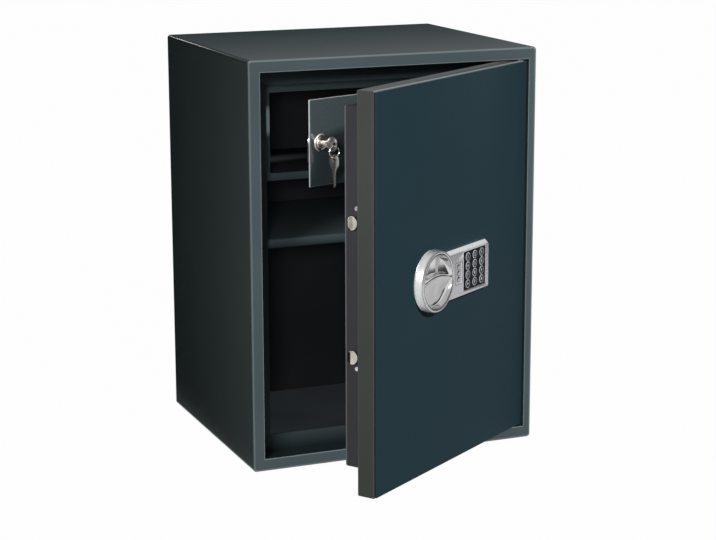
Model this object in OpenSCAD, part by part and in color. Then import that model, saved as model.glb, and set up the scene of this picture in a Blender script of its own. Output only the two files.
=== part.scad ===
// Furniture safe with a turning knob, an electronic keypad and a locked inner compartment.
// Origin: centre of the cabinet's underside. Front faces -Y, the door hinges on the right (+X).
// "Depth" below is the distance behind the cabinet's front face.

/* [Cabinet] */
// Width of the cabinet
cab_w = 450; // [430:5:520]
// Height of the cabinet
cab_h = 600; // [560:5:700]
// Depth of the cabinet
cab_d = 380; // [340:5:450]
// Thickness of the cabinet's sheet steel
sheet = 2; // [1.5:0.5:3]
// Outer radius of the cabinet's folded edges
corner_r = 4; // [3.5:0.5:6]
// Width of the front lip at the left, top and bottom
lip_w = 18; // [15:1:25]
// Width of the front lip at the hinge side
hinge_lip_w = 12; // [11:1:20]
// Depth of the rebate that the closed door sinks into
rebate_d = 40; // [36:1:50]
// Width of the stop flange behind the closed door
flange_w = 23; // [16:1:23]
// Thickness of the stop flange
flange_t = 3; // [2:0.5:4]
// Diameter of the anchor holes
anchor_hole_d = 12; // [8:1:16]
// Distance between the two floor anchor holes, and between the two wall anchor holes
anchor_spacing = 300; // [200:10:350]
// Height of the wall anchor holes
wall_anchor_z = 365; // [345:5:385]

/* [Door] */
// Gap round the closed door at the left, top and bottom
door_gap = 2; // [1.5:0.5:3]
// Gap beside the closed door at its hinge side
hinge_gap = 3; // [2.5:0.5:4]
// Thickness of the door slab
slab_t = 30; // [26:1:34]
// Thickness of the door's front skin
skin_t = 3; // [2:0.5:4]
// Thickness of the door's folded edges and of its back plate
edge_t = 2; // [1.5:0.5:3]
// Radius of the door's front edge at the hinge side
hinge_edge_r = 6; // [5:0.5:7]
// Distance from the hinge axis to the door's front and to its right edge
hinge_inset = 8.5; // [8.5:0.5:10]
// Diameter of the hinge pins
hinge_pin_d = 8; // [6:0.5:8]
// Angle that the door stands open
door_rest = 34.5; // [0:0.5:100]
// Inset of the inner pan from the door's side edges
pan_side_inset = 32; // [30:1:45]
// Inset of the inner pan from the door's top and bottom edges
pan_end_inset = 27; // [25:1:45]
// Depth of the inner pan
pan_d = 41; // [38:1:42]
// Sheet thickness of the inner pan
pan_t = 1.5; // [1:0.25:2]

/* [Bolt work] */
// Height of the knob's axis
lock_z = 300; // [270:5:330]
// Distance from the knob's axis to the door's free edge
knob_from_edge = 139; // [136:1:150]
// Height of each bolt above or below the knob's axis
bolt_offset = 94; // [80:1:120]
// Diameter of the bolts
bolt_dia = 20; // [16:1:22]
// Length of a bolt
bolt_len = 50; // [46:1:54]
// How far the withdrawn bolts stand out of the pan
bolt_proud = 5; // [3:0.5:6]
// Depth of the bolts' axes behind the closed door's front
bolt_depth = 57; // [56:0.5:58]
// Length of the bolt guides
guide_len = 20; // [15:1:22]
// Radius from the spindle to the drive pin
crank_r = 18; // [16:1:19]
// Turn of the knob from withdrawn to thrown
knob_turn = 60; // [50:5:60]
// Diameter of the drive pin
drive_pin_d = 6; // [5:0.5:6]
// Diameter of the spindle
spindle_d = 10; // [8:1:10]
// Diameter of the blocking plunger
plunger_d = 8; // [6:1:8]
// Rise of the blocking plunger
plunger_rise = 5.5; // [4:0.5:6]

/* [Knob and keypad] */
// Diameter of the knob
knob_dia = 88; // [80:1:92]
// Thickness of the knob
knob_t = 12.5; // [11:0.5:16]
// Width of the knob's raised rim
knob_rim = 7; // [5:0.5:9]
// Depth of the knob's finger bowl
bowl_d = 9.5; // [7:0.5:10]
// Height of the grip's upper edge above the knob's axis
ridge_up = 9; // [6:0.5:12]
// Width of the grip's flat ridge
ridge_w = 3; // [2:0.5:5]
// Slope of the grip below its ridge
grip_slope = 14; // [11:0.5:16]
// Height of the keypad housing
housing_h = 70; // [66:1:80]
// Distance from the knob's axis to the housing's right end
housing_reach = 146; // [140:1:160]
// Thickness of the keypad housing
housing_t = 12; // [11:0.5:15]
// Thickness of the base plate under the knob
base_t = 2; // [1.5:0.5:3]
// Width of the key field
field_w = 62; // [60:1:66]
// Height of the key field
field_h = 56; // [53:1:60]
// Margin between the key field and the housing's right end
field_margin = 10; // [8:1:13]
// Distance between key columns
key_pitch_x = 19.5; // [17:0.5:20]
// Distance between key rows
key_pitch_z = 13.2; // [12.8:0.1:13.6]
// Diameter of a key
key_dia = 11.8; // [10:0.1:12]
// How far a key stands out of the key plate
key_proud = 0.9; // [0.8:0.1:1.5]

/* [Inner compartment] */
// Distance from the cabinet's top to the underside of the compartment's floor
comp_drop = 194; // [180:2:200]
// Depth of the compartment's frame behind the cabinet's front
comp_depth = 118; // [116:1:140]
// Distance from the cabinet's top to the top of the compartment's opening
comp_header = 63; // [50:1:70]
// Height of the sill under the opening
comp_sill = 11.5; // [10:0.5:20]
// Distance from the cabinet's centre line to the opening's left edge
comp_left = 151; // [130:1:180]
// Distance from the cabinet's right side to the inner door's hinge axis
inner_hinge_in = 49; // [46:1:70]
// Thickness of the inner door
inner_t = 3; // [2:0.5:3]
// How far the inner door laps over the opening at its free edge
inner_lap = 5; // [3:0.5:8]
// Angle that the inner door stands open
inner_rest = 20; // [0:0.5:38]
// Distance from the inner lock's axis to the inner door's free edge
inner_lock_in = 21; // [20:0.5:28]
// Diameter of the inner lock's rosette
rosette_dia = 26; // [24:1:30]

/* [Keys] */
// Diameter of a key's bow
bow_dia = 21; // [19:1:23]
// Thickness of a key
key_t = 2; // [1.6:0.2:2]
// Distance from a key's bow centre to its tip
key_reach = 37; // [34:1:40]
// Width of a key's blade
blade_w = 5; // [4:0.5:6]
// Mean diameter of the key ring
ring_dia = 18; // [17:1:22]
// Diameter of the key ring's wire
ring_wire = 2; // [1.6:0.2:2]
// Distance from the rosette to the inserted key's bow centre
bow_out = 22; // [20:0.5:23]

/* [Shelf] */
// Height of the shelf's top face
shelf_z = 325; // [300:5:335]
// Depth of the shelf's front edge behind the cabinet's front
shelf_depth = 85; // [80:1:110]
// Height of the shelf's turned-down edge
shelf_lip = 13; // [10:1:20]
// Sheet thickness of the shelf
shelf_t = 1.5; // [1:0.25:2]

/* [Hidden] */
$fn = 64;

// Clearances
fit = 0.05;        // radial running clearance of a pin or shaft
press = 0.02;      // radial clearance of a fixed pin in its hole
move_gap = 0.4;    // clearance beside a piece that slides past another
cut = 1;           // how far a cut runs past the face it opens

// Cabinet
front = -cab_d / 2;
left = -cab_w / 2;
right = cab_w / 2;
lip_x = [left + lip_w, right - hinge_lip_w];
lip_z = [lip_w, cab_h - lip_w];
stop_x = [lip_x[0] + flange_w, lip_x[1] - flange_w];
stop_z = [lip_z[0] + flange_w, lip_z[1] - flange_w];

// Door slab and pan, drawn closed
door_x = [lip_x[0] + door_gap, lip_x[1] - hinge_gap];
door_z = [lip_z[0] + door_gap, lip_z[1] - door_gap];
hinge_x = door_x[1] - hinge_inset;
pan_x = [door_x[0] + pan_side_inset, door_x[1] - pan_side_inset];
pan_z = [door_z[0] + pan_end_inset, door_z[1] - pan_end_inset];
pan_back = slab_t + pan_d;

// Hinge hardware
hinge_pin_r = hinge_pin_d / 2;
hinge_block = 22;      // height of a hinge block in the slab
hinge_plate_t = 4;     // thickness of a hinge plate
hinge_plate_w = 22;    // width of a hinge plate
hinge_block_w = 20;    // width of a hinge block

// Bolt work
knob_x = door_x[0] + knob_from_edge;
bolt_r = bolt_dia / 2;
bolt_tip = pan_x[0] - bolt_proud;
bolt_end = bolt_tip + bolt_len;
bar_t = 5;             // thickness of the bolt bar
bar_w = 20;            // width of the bolt bar
bar_over = 14;         // how far the bar runs past each bolt's axis
lug_t = 3;             // thickness of the driven lug
lug_z = [lock_z + spindle_d / 2 + 3, lock_z + spindle_d / 2 + 25];
half_turn = knob_turn / 2;
pin_x = knob_x + crank_r * sin(half_turn);
pin_z = lock_z + crank_r * cos(half_turn);
throw = 2 * crank_r * sin(half_turn);
pin_r = drive_pin_d / 2;
slot_r = pin_r + move_gap;
lug_end = pin_x + slot_r + 6;
lug_d = [bolt_depth - 1, bolt_depth - 1 + lug_t];
arm_d = [lug_d[1] + 1, lug_d[1] + 5];
spindle_r = spindle_d / 2;
bush_r = spindle_r + 3;
bolt_screw_r = 3;      // shank radius of a bolt screw
bolt_screw_len = 14;   // thread length of a bolt screw in the bolt
guide_half = bolt_r + 6;
guide_screw_up = 20;   // height of the upper pan screw above the upper bolt
guide_screw_down = 16; // depth of the lower pan screw below the lower bolt
guide_end = 5;         // metal past a pan screw's axis
pan_screw_d = 51;      // depth of the pan screws' axes
pan_screw_r = 2;       // shank radius of a pan screw
pan_screw_len = 10;    // length of a pan screw in its guide

// Blocking magnet
magnet_x = bolt_end + bar_t + 15;
magnet_w = 26;         // width of the magnet
magnet_h = 46;         // height of the magnet
plunger_r = plunger_d / 2;
plunger_tip = lug_z[0] - 1;
magnet_top = plunger_tip - 9;
notch_gap = 0.6;       // clearance beside the plunger in a notch
plunger_in = 30;       // length of the retracted plunger inside the magnet

// Knob and keypad
knob_r = knob_dia / 2;
knob_lift = 0.5;       // gap between the knob and its base
knob_back = -base_t - knob_lift;
knob_front = knob_back - knob_t;
housing_x = [knob_x, knob_x + housing_reach];
housing_z = [lock_z - housing_h / 2, lock_z + housing_h / 2];
housing_r = 4;         // radius of the housing's right corners
field_x = [housing_x[1] - field_margin - field_w, housing_x[1] - field_margin];
field_z = [lock_z - field_h / 2, lock_z + field_h / 2];
pocket_floor = -4;     // floor of the keypad pocket
plate_sink = 0.5;      // how far the key plate lies below the housing's face
plate_t = 2;           // thickness of the key plate
plate_front = -housing_t + plate_sink;
key_r = key_dia / 2;
key_hole_r = key_r + 0.3;
key_travel = 0.8;      // travel of a key
key_seat = 0.4;        // gap under a pressed key
key_mid_x = (field_x[0] + field_x[1]) / 2;
window_x = [knob_x + knob_r + 7, field_x[0] - 4];
window_z = [lock_z - 16, lock_z + 16];
window_t = 1;          // thickness of the indicator window
lead_r = 2.5;          // radius of the keypad lead
board_d = 34;          // depth of the circuit board's front
board_t = 1.6;         // thickness of the circuit board
board_inset = 6;       // inset of the board's posts from its corners
board_post_r = 3;      // radius of a board post
housing_screw_r = 2;   // shank radius of a housing screw

// Battery box
cell_r = 7.25;         // radius of a cell
cell_len = 50.5;       // length of a cell
cell_count = 4;        // number of cells
cell_pitch = 15.5;     // distance between cells
cell_wall = 3;         // wall of the battery holder
holder_x0 = key_mid_x - 10;
holder_z1 = housing_z[0] - 18;
holder_w = cell_pitch * cell_count + 2 * cell_wall;
holder_h = cell_len + 2 * cell_wall + 1;
cell_depth = pan_back - 7 - cell_r;
cover_t = 2;           // thickness of the battery cover
cover_lap = 6;         // how far the cover laps over the pan

// Inner compartment
comp_floor_z = cab_h - comp_drop;
comp_open_z = [comp_floor_z + comp_sill, cab_h - comp_header];
comp_hinge_room = 12;  // room between the hinge axis and the opening's right edge
inner_hinge_x = right - inner_hinge_in;
comp_open_x = [-comp_left, inner_hinge_x + comp_hinge_room];
comp_return = 14;      // depth of the frame's return behind its left edge
inner_gap = 0.5;       // gap between the closed inner door and its frame
inner_front = comp_depth - inner_gap - inner_t;
inner_x = [-comp_left - inner_lap, inner_hinge_x + 5];
inner_z = [comp_open_z[0] - 3, comp_open_z[1] + 3];
inner_axis_d = comp_depth + sheet + 4;
inner_pin_r = 2.5;     // radius of an inner hinge pin
inner_block_w = 8;     // width of an inner hinge block
inner_block_h = 15;    // height of an inner hinge block
inner_bracket_t = 2.5; // thickness of an inner hinge bracket
inner_bracket_w = 16;  // width of an inner hinge bracket
inner_bracket_d = 9;   // reach of a bracket behind the hinge axis
inner_notch_w = 6;     // width of the door's corner notches left of the hinge axis
inner_lock_x = inner_x[0] + inner_lock_in;
inner_lock_z = (inner_z[0] + inner_z[1]) / 2;
rosette_t = 2;         // thickness of the rosette
barrel_r = 9;          // radius of the lock barrel
barrel_back = comp_depth + sheet + comp_return;
plug_r = 6;            // radius of the lock plug
nut_r = 13;            // corner radius of the barrel nut
nut_t = 5;             // thickness of the barrel nut
cam_gap = 1;           // gap between the frame's return and the cam
cam_t = 2;             // thickness of the cam
cam_r = 7;             // half width of the cam
cam_len = inner_lock_in + inner_lap + 5;
rosette_front = inner_front - rosette_t;
ring_wire_r = ring_wire / 2;
ring_r = ring_dia / 2;
bow_r = bow_dia / 2;
bow_hole_r = 3;        // radius of a key's ring hole
bow_hole_out = 4.5;    // distance from the bow's centre to the ring hole
ring_seat = 1.2;       // how far the wire hangs off a ring hole's centre
key_slot_gap = 0.2;    // clearance round the blade in the plug
ring_d = rosette_front - bow_out - bow_hole_out;
ring_top_z = inner_lock_z - ring_seat;
spare_hole_z = ring_top_z - 2 * ring_r - ring_seat;

// Shelf
shelf_side_gap = 1;    // gap between the shelf and the cabinet's walls
shelf_back_gap = 8;    // gap between the shelf and the back panel
rest_r = 4;            // radius of a shelf rest
rest_len = 12;         // length of a shelf rest
rest_inset = 40;       // distance of the rests from the shelf's ends

// Solid box from x, depth and z ranges
module block(x, d, z) {
  translate([x[0], front + d[0], z[0]]) cube([x[1] - x[0], d[1] - d[0], z[1] - z[0]]);
}

// Rods along each axis; a pair is the range that the rod spans
module rod_x(x, d, z, r) {
  translate([x[0], front + d, z]) rotate([0, 90, 0]) cylinder(h = x[1] - x[0], r = r);
}
module rod_y(x, d, z, r) {
  translate([x, front + d[0], z]) rotate([-90, 0, 0]) cylinder(h = d[1] - d[0], r = r);
}
module rod_z(x, d, z, r) {
  translate([x, front + d, z[0]]) cylinder(h = z[1] - z[0], r = r);
}

// Plate from an outline drawn in x and z, between two depths
module plate(d) {
  translate([0, front + d[1], 0]) rotate([90, 0, 0]) linear_extrude(d[1] - d[0]) children();
}

// Rectangle with round corners
module round_rect(x, z, r) {
  translate([x[0] + r, z[0]]) square([x[1] - x[0] - 2 * r, z[1] - z[0]]);
  translate([x[0], z[0] + r]) square([x[1] - x[0], z[1] - z[0] - 2 * r]);
  for (cx = [x[0] + r, x[1] - r], cz = [z[0] + r, z[1] - r]) translate([cx, cz]) circle(r);
}
module rect(x, z) {
  translate([x[0], z[0]]) square([x[1] - x[0], z[1] - z[0]]);
}

// Turns a closed piece to where the open door holds it
module on_door() {
  translate([hinge_x, front + hinge_inset, 0]) rotate([0, 0, door_rest])
    translate([-hinge_x, -front - hinge_inset, 0]) children();
}
module on_inner_door() {
  translate([inner_hinge_x, front + inner_axis_d, 0]) rotate([0, 0, inner_rest])
    translate([-inner_hinge_x, -front - inner_axis_d, 0]) children();
}

// Cabinet

module cabinet_shell() {
  color("#2b3335") difference() {
    plate([0, cab_d]) round_rect([left, right], [0, cab_h], corner_r);
    plate([sheet, cab_d + cut])
      round_rect([left + sheet, right - sheet], [sheet, cab_h - sheet], corner_r - sheet);
    plate([-cut, sheet + cut]) rect(lip_x, lip_z);
    for (s = [-1, 1]) rod_z(s * anchor_spacing / 2, cab_d / 2, [-cut, sheet + cut], anchor_hole_d / 2);
  }
}

module back_panel() {
  color("#262d2f") difference() {
    plate([cab_d - sheet, cab_d])
      round_rect([left + sheet, right - sheet], [sheet, cab_h - sheet], corner_r);
    for (s = [-1, 1])
      rod_y(s * anchor_spacing / 2, [cab_d - sheet - cut, cab_d + cut], wall_anchor_z, anchor_hole_d / 2);
  }
}

module door_rebate() {
  wall_x = [lip_x[0] - sheet, lip_x[1] + sheet];
  wall_z = [lip_z[0] - sheet, lip_z[1] + sheet];
  color("#243234") difference() {
    plate([sheet, rebate_d + flange_t]) rect(wall_x, wall_z);
    plate([sheet - cut, rebate_d]) rect(lip_x, lip_z);
    plate([rebate_d - cut, rebate_d + flange_t + cut]) rect(stop_x, stop_z);
    rod_z(hinge_x, hinge_inset, [wall_z[0] - cut, wall_z[1] + cut], hinge_pin_r + move_gap);
  }
}

module hinge_plate(z) {
  difference() {
    block([lip_x[1] - hinge_plate_w, lip_x[1]], [sheet, sheet + hinge_plate_w], z);
    rod_z(hinge_x, hinge_inset, [z[0] - cut, z[1] + cut], hinge_pin_r + fit);
  }
}

module hinge_plates() {
  low = lip_z[0] - sheet;
  high = lip_z[1] + sheet;
  color("#4a5052") {
    hinge_plate([low - hinge_plate_t, low]);
    hinge_plate([high, high + hinge_plate_t]);
  }
}

module compartment_floor() {
  color("#25272b")
    block([left + sheet, right - sheet], [comp_depth + sheet, cab_d - sheet],
          [comp_floor_z, comp_floor_z + sheet]);
}

module compartment_frame() {
  color("#1e2326") {
    difference() {
      plate([comp_depth, comp_depth + sheet]) intersection() {
        rect([left + sheet, right - sheet], [comp_floor_z, cab_h - sheet]);
        round_rect([left + sheet, right - sheet], [comp_floor_z - cab_h / 2, cab_h - sheet], corner_r);
      }
      plate([comp_depth - cut, comp_depth + sheet + cut]) rect(comp_open_x, comp_open_z);
    }
    block([comp_open_x[0] - sheet, comp_open_x[0]], [comp_depth + sheet, barrel_back], comp_open_z);
  }
}

module inner_hinge_bracket(z) {
  x = [inner_hinge_x - inner_bracket_w / 2, inner_hinge_x + inner_bracket_w / 2];
  difference() {
    block(x, [comp_depth + sheet, inner_axis_d + inner_bracket_d], z);
    rod_z(inner_hinge_x, inner_axis_d, [z[0] - cut, z[1] + cut], inner_pin_r + fit);
  }
}

module inner_hinge_brackets() {
  color("#3a3f42") {
    inner_hinge_bracket([comp_open_z[1] + inner_gap, comp_open_z[1] + inner_gap + inner_bracket_t]);
    inner_hinge_bracket([comp_open_z[0] - inner_gap - inner_bracket_t, comp_open_z[0] - inner_gap]);
  }
}

module shelf() {
  x = [left + sheet + shelf_side_gap, right - sheet - shelf_side_gap];
  d = [shelf_depth, cab_d - sheet - shelf_back_gap];
  lip = [shelf_z - shelf_lip, shelf_z];
  color("#2b2f33") {
    block(x, d, [shelf_z - shelf_t, shelf_z]);
    block(x, [d[0], d[0] + shelf_t], lip);
    block(x, [d[1] - shelf_t, d[1]], lip);
  }
}

module shelf_rests() {
  z = shelf_z - shelf_t - rest_r;
  color("silver")
    for (d = [shelf_depth + rest_inset, cab_d - sheet - shelf_back_gap - rest_inset]) {
      rod_x([left + sheet, left + sheet + rest_len], d, z, rest_r);
      rod_x([right - sheet - rest_len, right - sheet], d, z, rest_r);
    }
}

// Door

// Outline of the slab in plan, its front edge at the hinge side round
module slab_plan(x, d, r) {
  translate([x[0], front + d[0]]) square([x[1] - x[0] - r, d[1] - d[0]]);
  translate([x[1] - 2 * r, front + d[0] + r]) square([2 * r, d[1] - d[0] - r]);
  translate([x[1] - r, front + d[0] + r]) circle(r);
}

module door_front() {
  inner_r = hinge_edge_r - edge_t;
  depth = slab_t - edge_t;
  color("#28363f") on_door() difference() {
    translate([0, 0, door_z[0]]) linear_extrude(door_z[1] - door_z[0]) slab_plan(door_x, [0, depth], hinge_edge_r);
    translate([0, 0, door_z[0] + edge_t]) linear_extrude(door_z[1] - door_z[0] - 2 * edge_t)
      slab_plan([door_x[0] + edge_t, door_x[1] - edge_t], [skin_t, depth + cut], inner_r);
    rod_y(knob_x, [-cut, skin_t + cut], lock_z, bush_r + press);
    rod_y(key_mid_x, [-cut, skin_t + cut], lock_z, lead_r + move_gap);
    for (z = housing_screw_z()) rod_y(housing_screw_x(), [-cut, skin_t + cut], z, housing_screw_r + press);
    rod_z(hinge_x, hinge_inset, [door_z[0] - cut, door_z[1] + cut], hinge_pin_r + press);
  }
}

function housing_screw_x() = field_x[0] - 9;
function housing_screw_z() = [housing_z[0] + 8, housing_z[1] - 8];

module door_backplate() {
  color("#3a3f42") on_door() difference() {
    block(door_x, [slab_t - edge_t, slab_t], door_z);
    rod_y(knob_x, [0, slab_t + cut], lock_z, bush_r + press);
    rod_y(key_mid_x, [0, slab_t + cut], lock_z, lead_r + move_gap);
  }
}

module door_pan() {
  color("#333438") on_door() difference() {
    block(pan_x, [slab_t, pan_back], pan_z);
    block([pan_x[0] + pan_t, pan_x[1] - pan_t], [slab_t - cut, pan_back - pan_t],
          [pan_z[0] + pan_t, pan_z[1] - pan_t]);
    for (z = bolt_z()) rod_x([pan_x[0] - cut, pan_x[0] + pan_t + cut], bolt_depth, z, bolt_r + move_gap);
    for (z = pan_screw_z())
      rod_x([pan_x[0] - cut, pan_x[0] + pan_t + cut], pan_screw_d, z, pan_screw_r + press);
    block([holder_x0 + cell_wall, holder_x0 + holder_w - cell_wall], [pan_back - pan_t - cut, pan_back + cut],
          [holder_z1 - holder_h + cell_wall, holder_z1 - cell_wall]);
  }
}

function bolt_z() = [lock_z - bolt_offset, lock_z + bolt_offset];
function pan_screw_z() = [bolt_z()[0] - guide_screw_down, bolt_z()[1] + guide_screw_up];

module hinge_blocks() {
  x = [door_x[1] - edge_t - hinge_block_w, door_x[1] - hinge_edge_r];
  d = [skin_t, slab_t - edge_t];
  color("#4a5052") on_door()
    for (z = [[door_z[0] + edge_t, door_z[0] + edge_t + hinge_block],
              [door_z[1] - edge_t - hinge_block, door_z[1] - edge_t]])
      difference() {
        union() {
          block(x, d, z);
          block([x[0], door_x[1] - edge_t], [skin_t + hinge_edge_r - edge_t, d[1]], z);
        }
        rod_z(hinge_x, hinge_inset, [z[0] - cut, z[1] + cut], hinge_pin_r + press);
      }
}

module hinge_pins() {
  reach = door_gap + sheet + hinge_plate_t;
  color("silver") on_door() {
    rod_z(hinge_x, hinge_inset, [door_z[0] - reach, door_z[0] + edge_t + hinge_block], hinge_pin_r);
    rod_z(hinge_x, hinge_inset, [door_z[1] - edge_t - hinge_block, door_z[1] + reach], hinge_pin_r);
  }
}

module spindle_bush() {
  color("#b08d57") on_door() difference() {
    union() {
      rod_y(knob_x, [-base_t, slab_t + 2], lock_z, bush_r);
      rod_y(knob_x, [slab_t, slab_t + 2], lock_z, bush_r + 4);
    }
    rod_y(knob_x, [-base_t - cut, slab_t + 2 + cut], lock_z, spindle_r + fit);
  }
}

module bolt_guide(z, screw_z) {
  x = [pan_x[0] + pan_t, pan_x[0] + pan_t + guide_len];
  low = min(z - guide_half, screw_z - guide_end);
  high = max(z + guide_half, screw_z + guide_end);
  difference() {
    block(x, [slab_t, bolt_depth + bolt_r + 1.5], [low, high]);
    rod_x([x[0] - cut, x[1] + cut], bolt_depth, z, bolt_r + fit);
    rod_x([x[0] - cut, x[0] + pan_screw_len], pan_screw_d, screw_z, pan_screw_r + press);
  }
}

module bolt_guides() {
  color("#555a5c") on_door() for (i = [0, 1]) bolt_guide(bolt_z()[i], pan_screw_z()[i]);
}

module pan_screws() {
  color("silver") on_door() for (z = pan_screw_z()) {
    rod_x([pan_x[0] - 1.6, pan_x[0]], pan_screw_d, z, 2 * pan_screw_r);
    rod_x([pan_x[0], pan_x[0] + pan_t + pan_screw_len - 0.5], pan_screw_d, z, pan_screw_r);
  }
}

module lock_magnet() {
  x = [magnet_x - magnet_w / 2, magnet_x + magnet_w / 2];
  z = [magnet_top - magnet_h, magnet_top];
  plunger_d0 = lug_mid();
  color("#6b6f73") on_door() difference() {
    block(x, [slab_t, plunger_d0 + plunger_r + 5], z);
    rod_z(magnet_x, plunger_d0, [plunger_tip - 9 - plunger_in - 1, z[1] + cut], plunger_r + fit);
  }
}

function lug_mid() = (lug_d[0] + lug_d[1]) / 2;

module magnet_plunger() {
  color("silver") on_door()
    rod_z(magnet_x, lug_mid(), [plunger_tip - 9 - plunger_in, plunger_tip], plunger_r);
}

module circuit_board() {
  x = [field_x[0], field_x[1]];
  color("#2d5a3d") on_door() {
    block(x, [board_d, board_d + board_t], field_z);
    for (px = [x[0] + board_inset, x[1] - board_inset], pz = [field_z[0] + board_inset, field_z[1] - board_inset])
      rod_y(px, [slab_t, board_d], pz, board_post_r);
  }
}

module keypad_lead() {
  color("#1c1c1e") on_door() rod_y(key_mid_x, [pocket_floor, board_d], lock_z, lead_r);
}

module battery_holder() {
  x = [holder_x0, holder_x0 + holder_w];
  z = [holder_z1 - holder_h, holder_z1];
  color("#2a2a2c") on_door() difference() {
    block(x, [slab_t, pan_back - pan_t], z);
    block([x[0] + cell_wall, x[1] - cell_wall], [cell_depth - cell_r - 0.5, pan_back],
          [z[0] + cell_wall, z[1] - cell_wall]);
  }
}

module battery_cells() {
  z0 = holder_z1 - holder_h + cell_wall + 0.5;
  color("#c9a24a") on_door() for (i = [0 : cell_count - 1])
    rod_z(holder_x0 + cell_wall + (i + 0.5) * cell_pitch, cell_depth - 0.3, [z0, z0 + cell_len], cell_r);
}

module battery_cover() {
  color("#333438") on_door()
    block([holder_x0 - cover_lap, holder_x0 + holder_w + cover_lap], [pan_back, pan_back + cover_t],
          [holder_z1 - holder_h - cover_lap, holder_z1 + cover_lap]);
}

// Keypad housing and knob

module lock_housing() {
  color("#c8c8cc") on_door() difference() {
    union() {
      plate([-base_t, 0]) translate([knob_x, lock_z]) circle(knob_r - 0.5);
      difference() {
        plate([-housing_t, 0]) round_rect(housing_x, housing_z, housing_r);
        rod_y(knob_x, [-housing_t - cut, -base_t], lock_z, knob_r + 0.6);
      }
    }
    plate([-housing_t - cut, pocket_floor]) rect(field_x, field_z);
    plate([-housing_t - cut, -housing_t + window_t]) rect(window_x, window_z);
    rod_y(knob_x, [-base_t - cut, cut], lock_z, bush_r + press);
    rod_y(key_mid_x, [pocket_floor - cut, cut], lock_z, lead_r + move_gap);
    for (z = housing_screw_z()) rod_y(housing_screw_x(), [-housing_t / 2, cut], z, housing_screw_r + press);
  }
}

module housing_screws() {
  color("silver") on_door() for (z = housing_screw_z()) {
    rod_y(housing_screw_x(), [skin_t, skin_t + 2], z, 2 * housing_screw_r);
    rod_y(housing_screw_x(), [1 - housing_t / 2, skin_t], z, housing_screw_r);
  }
}

function key_x(i) = key_mid_x + (i % 3 - 1) * key_pitch_x;
function key_z(i) = lock_z + (1.5 - floor(i / 3)) * key_pitch_z;

module keypad_plate() {
  color("#1c2333") on_door() difference() {
    plate([plate_front, pocket_floor]) rect(field_x, field_z);
    plate([plate_front + plate_t, pocket_floor + cut])
      rect([field_x[0] + 1, field_x[1] - 1], [field_z[0] + 1, field_z[1] - 1]);
    for (i = [0 : 11])
      rod_y(key_x(i), [plate_front - cut, plate_front + plate_t + cut], key_z(i), key_hole_r);
  }
}

module indicator_window() {
  color("#202427") on_door() plate([-housing_t, -housing_t + window_t]) rect(window_x, window_z);
}

module key_cap(i) {
  color("#1c2333") on_door()
    rod_y(key_x(i), [plate_front - key_proud, pocket_floor - key_travel - key_seat], key_z(i), key_r);
}

// The bowl has a straight wall above the grip's ridge and a slope below it
module knob() {
  color("#c8c8cc") on_door() difference() {
    rod_y(knob_x, [knob_front, knob_back], lock_z, knob_r);
    intersection() {
      rod_y(knob_x, [knob_front - cut, knob_front + bowl_d], lock_z, knob_r - knob_rim);
      union() {
        block([knob_x - knob_r, knob_x + knob_r], [knob_front - 2 * cut, knob_back],
              [lock_z + ridge_up, lock_z + knob_r]);
        translate([knob_x - knob_r, front + knob_front, lock_z + ridge_up - ridge_w])
          rotate([grip_slope, 0, 0]) translate([0, -knob_dia, -knob_dia]) cube(knob_dia);
      }
    }
    rod_y(knob_x, [knob_front + 5, knob_back + cut], lock_z, spindle_r + press);
  }
}

module spindle() {
  color("silver") on_door() rod_y(knob_x, [knob_front + 5.5, arm_d[1] + 2], lock_z, spindle_r);
}

module drive_arm() {
  color("#8a8d90") on_door() {
    difference() {
      union() {
        rod_y(knob_x, arm_d, lock_z, spindle_r + 5);
        rod_y(pin_x, arm_d, pin_z, pin_r + 3);
        translate([knob_x, 0, lock_z]) rotate([0, half_turn, 0])
          block([-pin_r - 2, pin_r + 2], arm_d, [0, crank_r]);
      }
      rod_y(knob_x, [arm_d[0] - cut, arm_d[1] + cut], lock_z, spindle_r + press);
    }
    rod_y(pin_x, [lug_d[0] - 1.5, arm_d[0]], pin_z, pin_r);
  }
}

// Bolts

module bolt(z) {
  tip_chamfer = 2;
  color("silver") on_door() difference() {
    union() {
      rod_x([bolt_tip + tip_chamfer, bolt_end], bolt_depth, z, bolt_r);
      translate([bolt_tip, front + bolt_depth, z]) rotate([0, 90, 0])
        cylinder(h = tip_chamfer, r1 = bolt_r - tip_chamfer, r2 = bolt_r);
    }
    rod_x([bolt_end - bolt_screw_len - 1, bolt_end + cut], bolt_depth, z, bolt_screw_r + press);
  }
}
module bolt_upper() { bolt(bolt_z()[1]); }
module bolt_lower() { bolt(bolt_z()[0]); }

module bolt_bar() {
  bar_z = [bolt_z()[0] - bar_over, bolt_z()[1] + bar_over];
  color("#8a8d90") on_door() {
    difference() {
      block([bolt_end, bolt_end + bar_t], [bolt_depth - bar_w / 2, bolt_depth + bar_w / 2], bar_z);
      for (z = bolt_z())
        rod_x([bolt_end - cut, bolt_end + bar_t + cut], bolt_depth, z, bolt_screw_r + press);
    }
    difference() {
      block([bolt_end + bar_t, lug_end], lug_d, lug_z);
      plate([lug_d[0] - cut, lug_d[1] + cut]) {
        slot_z = [pin_z - move_gap, lock_z + crank_r + move_gap];
        for (z = slot_z) translate([pin_x, z]) circle(slot_r);
        rect([pin_x - slot_r, pin_x + slot_r], slot_z);
      }
      for (x = [magnet_x, magnet_x + throw])
        block([x - plunger_r - notch_gap, x + plunger_r + notch_gap], [lug_d[0] - cut, lug_d[1] + cut],
              [lug_z[0] - cut, plunger_tip + plunger_rise + 1]);
    }
  }
}

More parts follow.
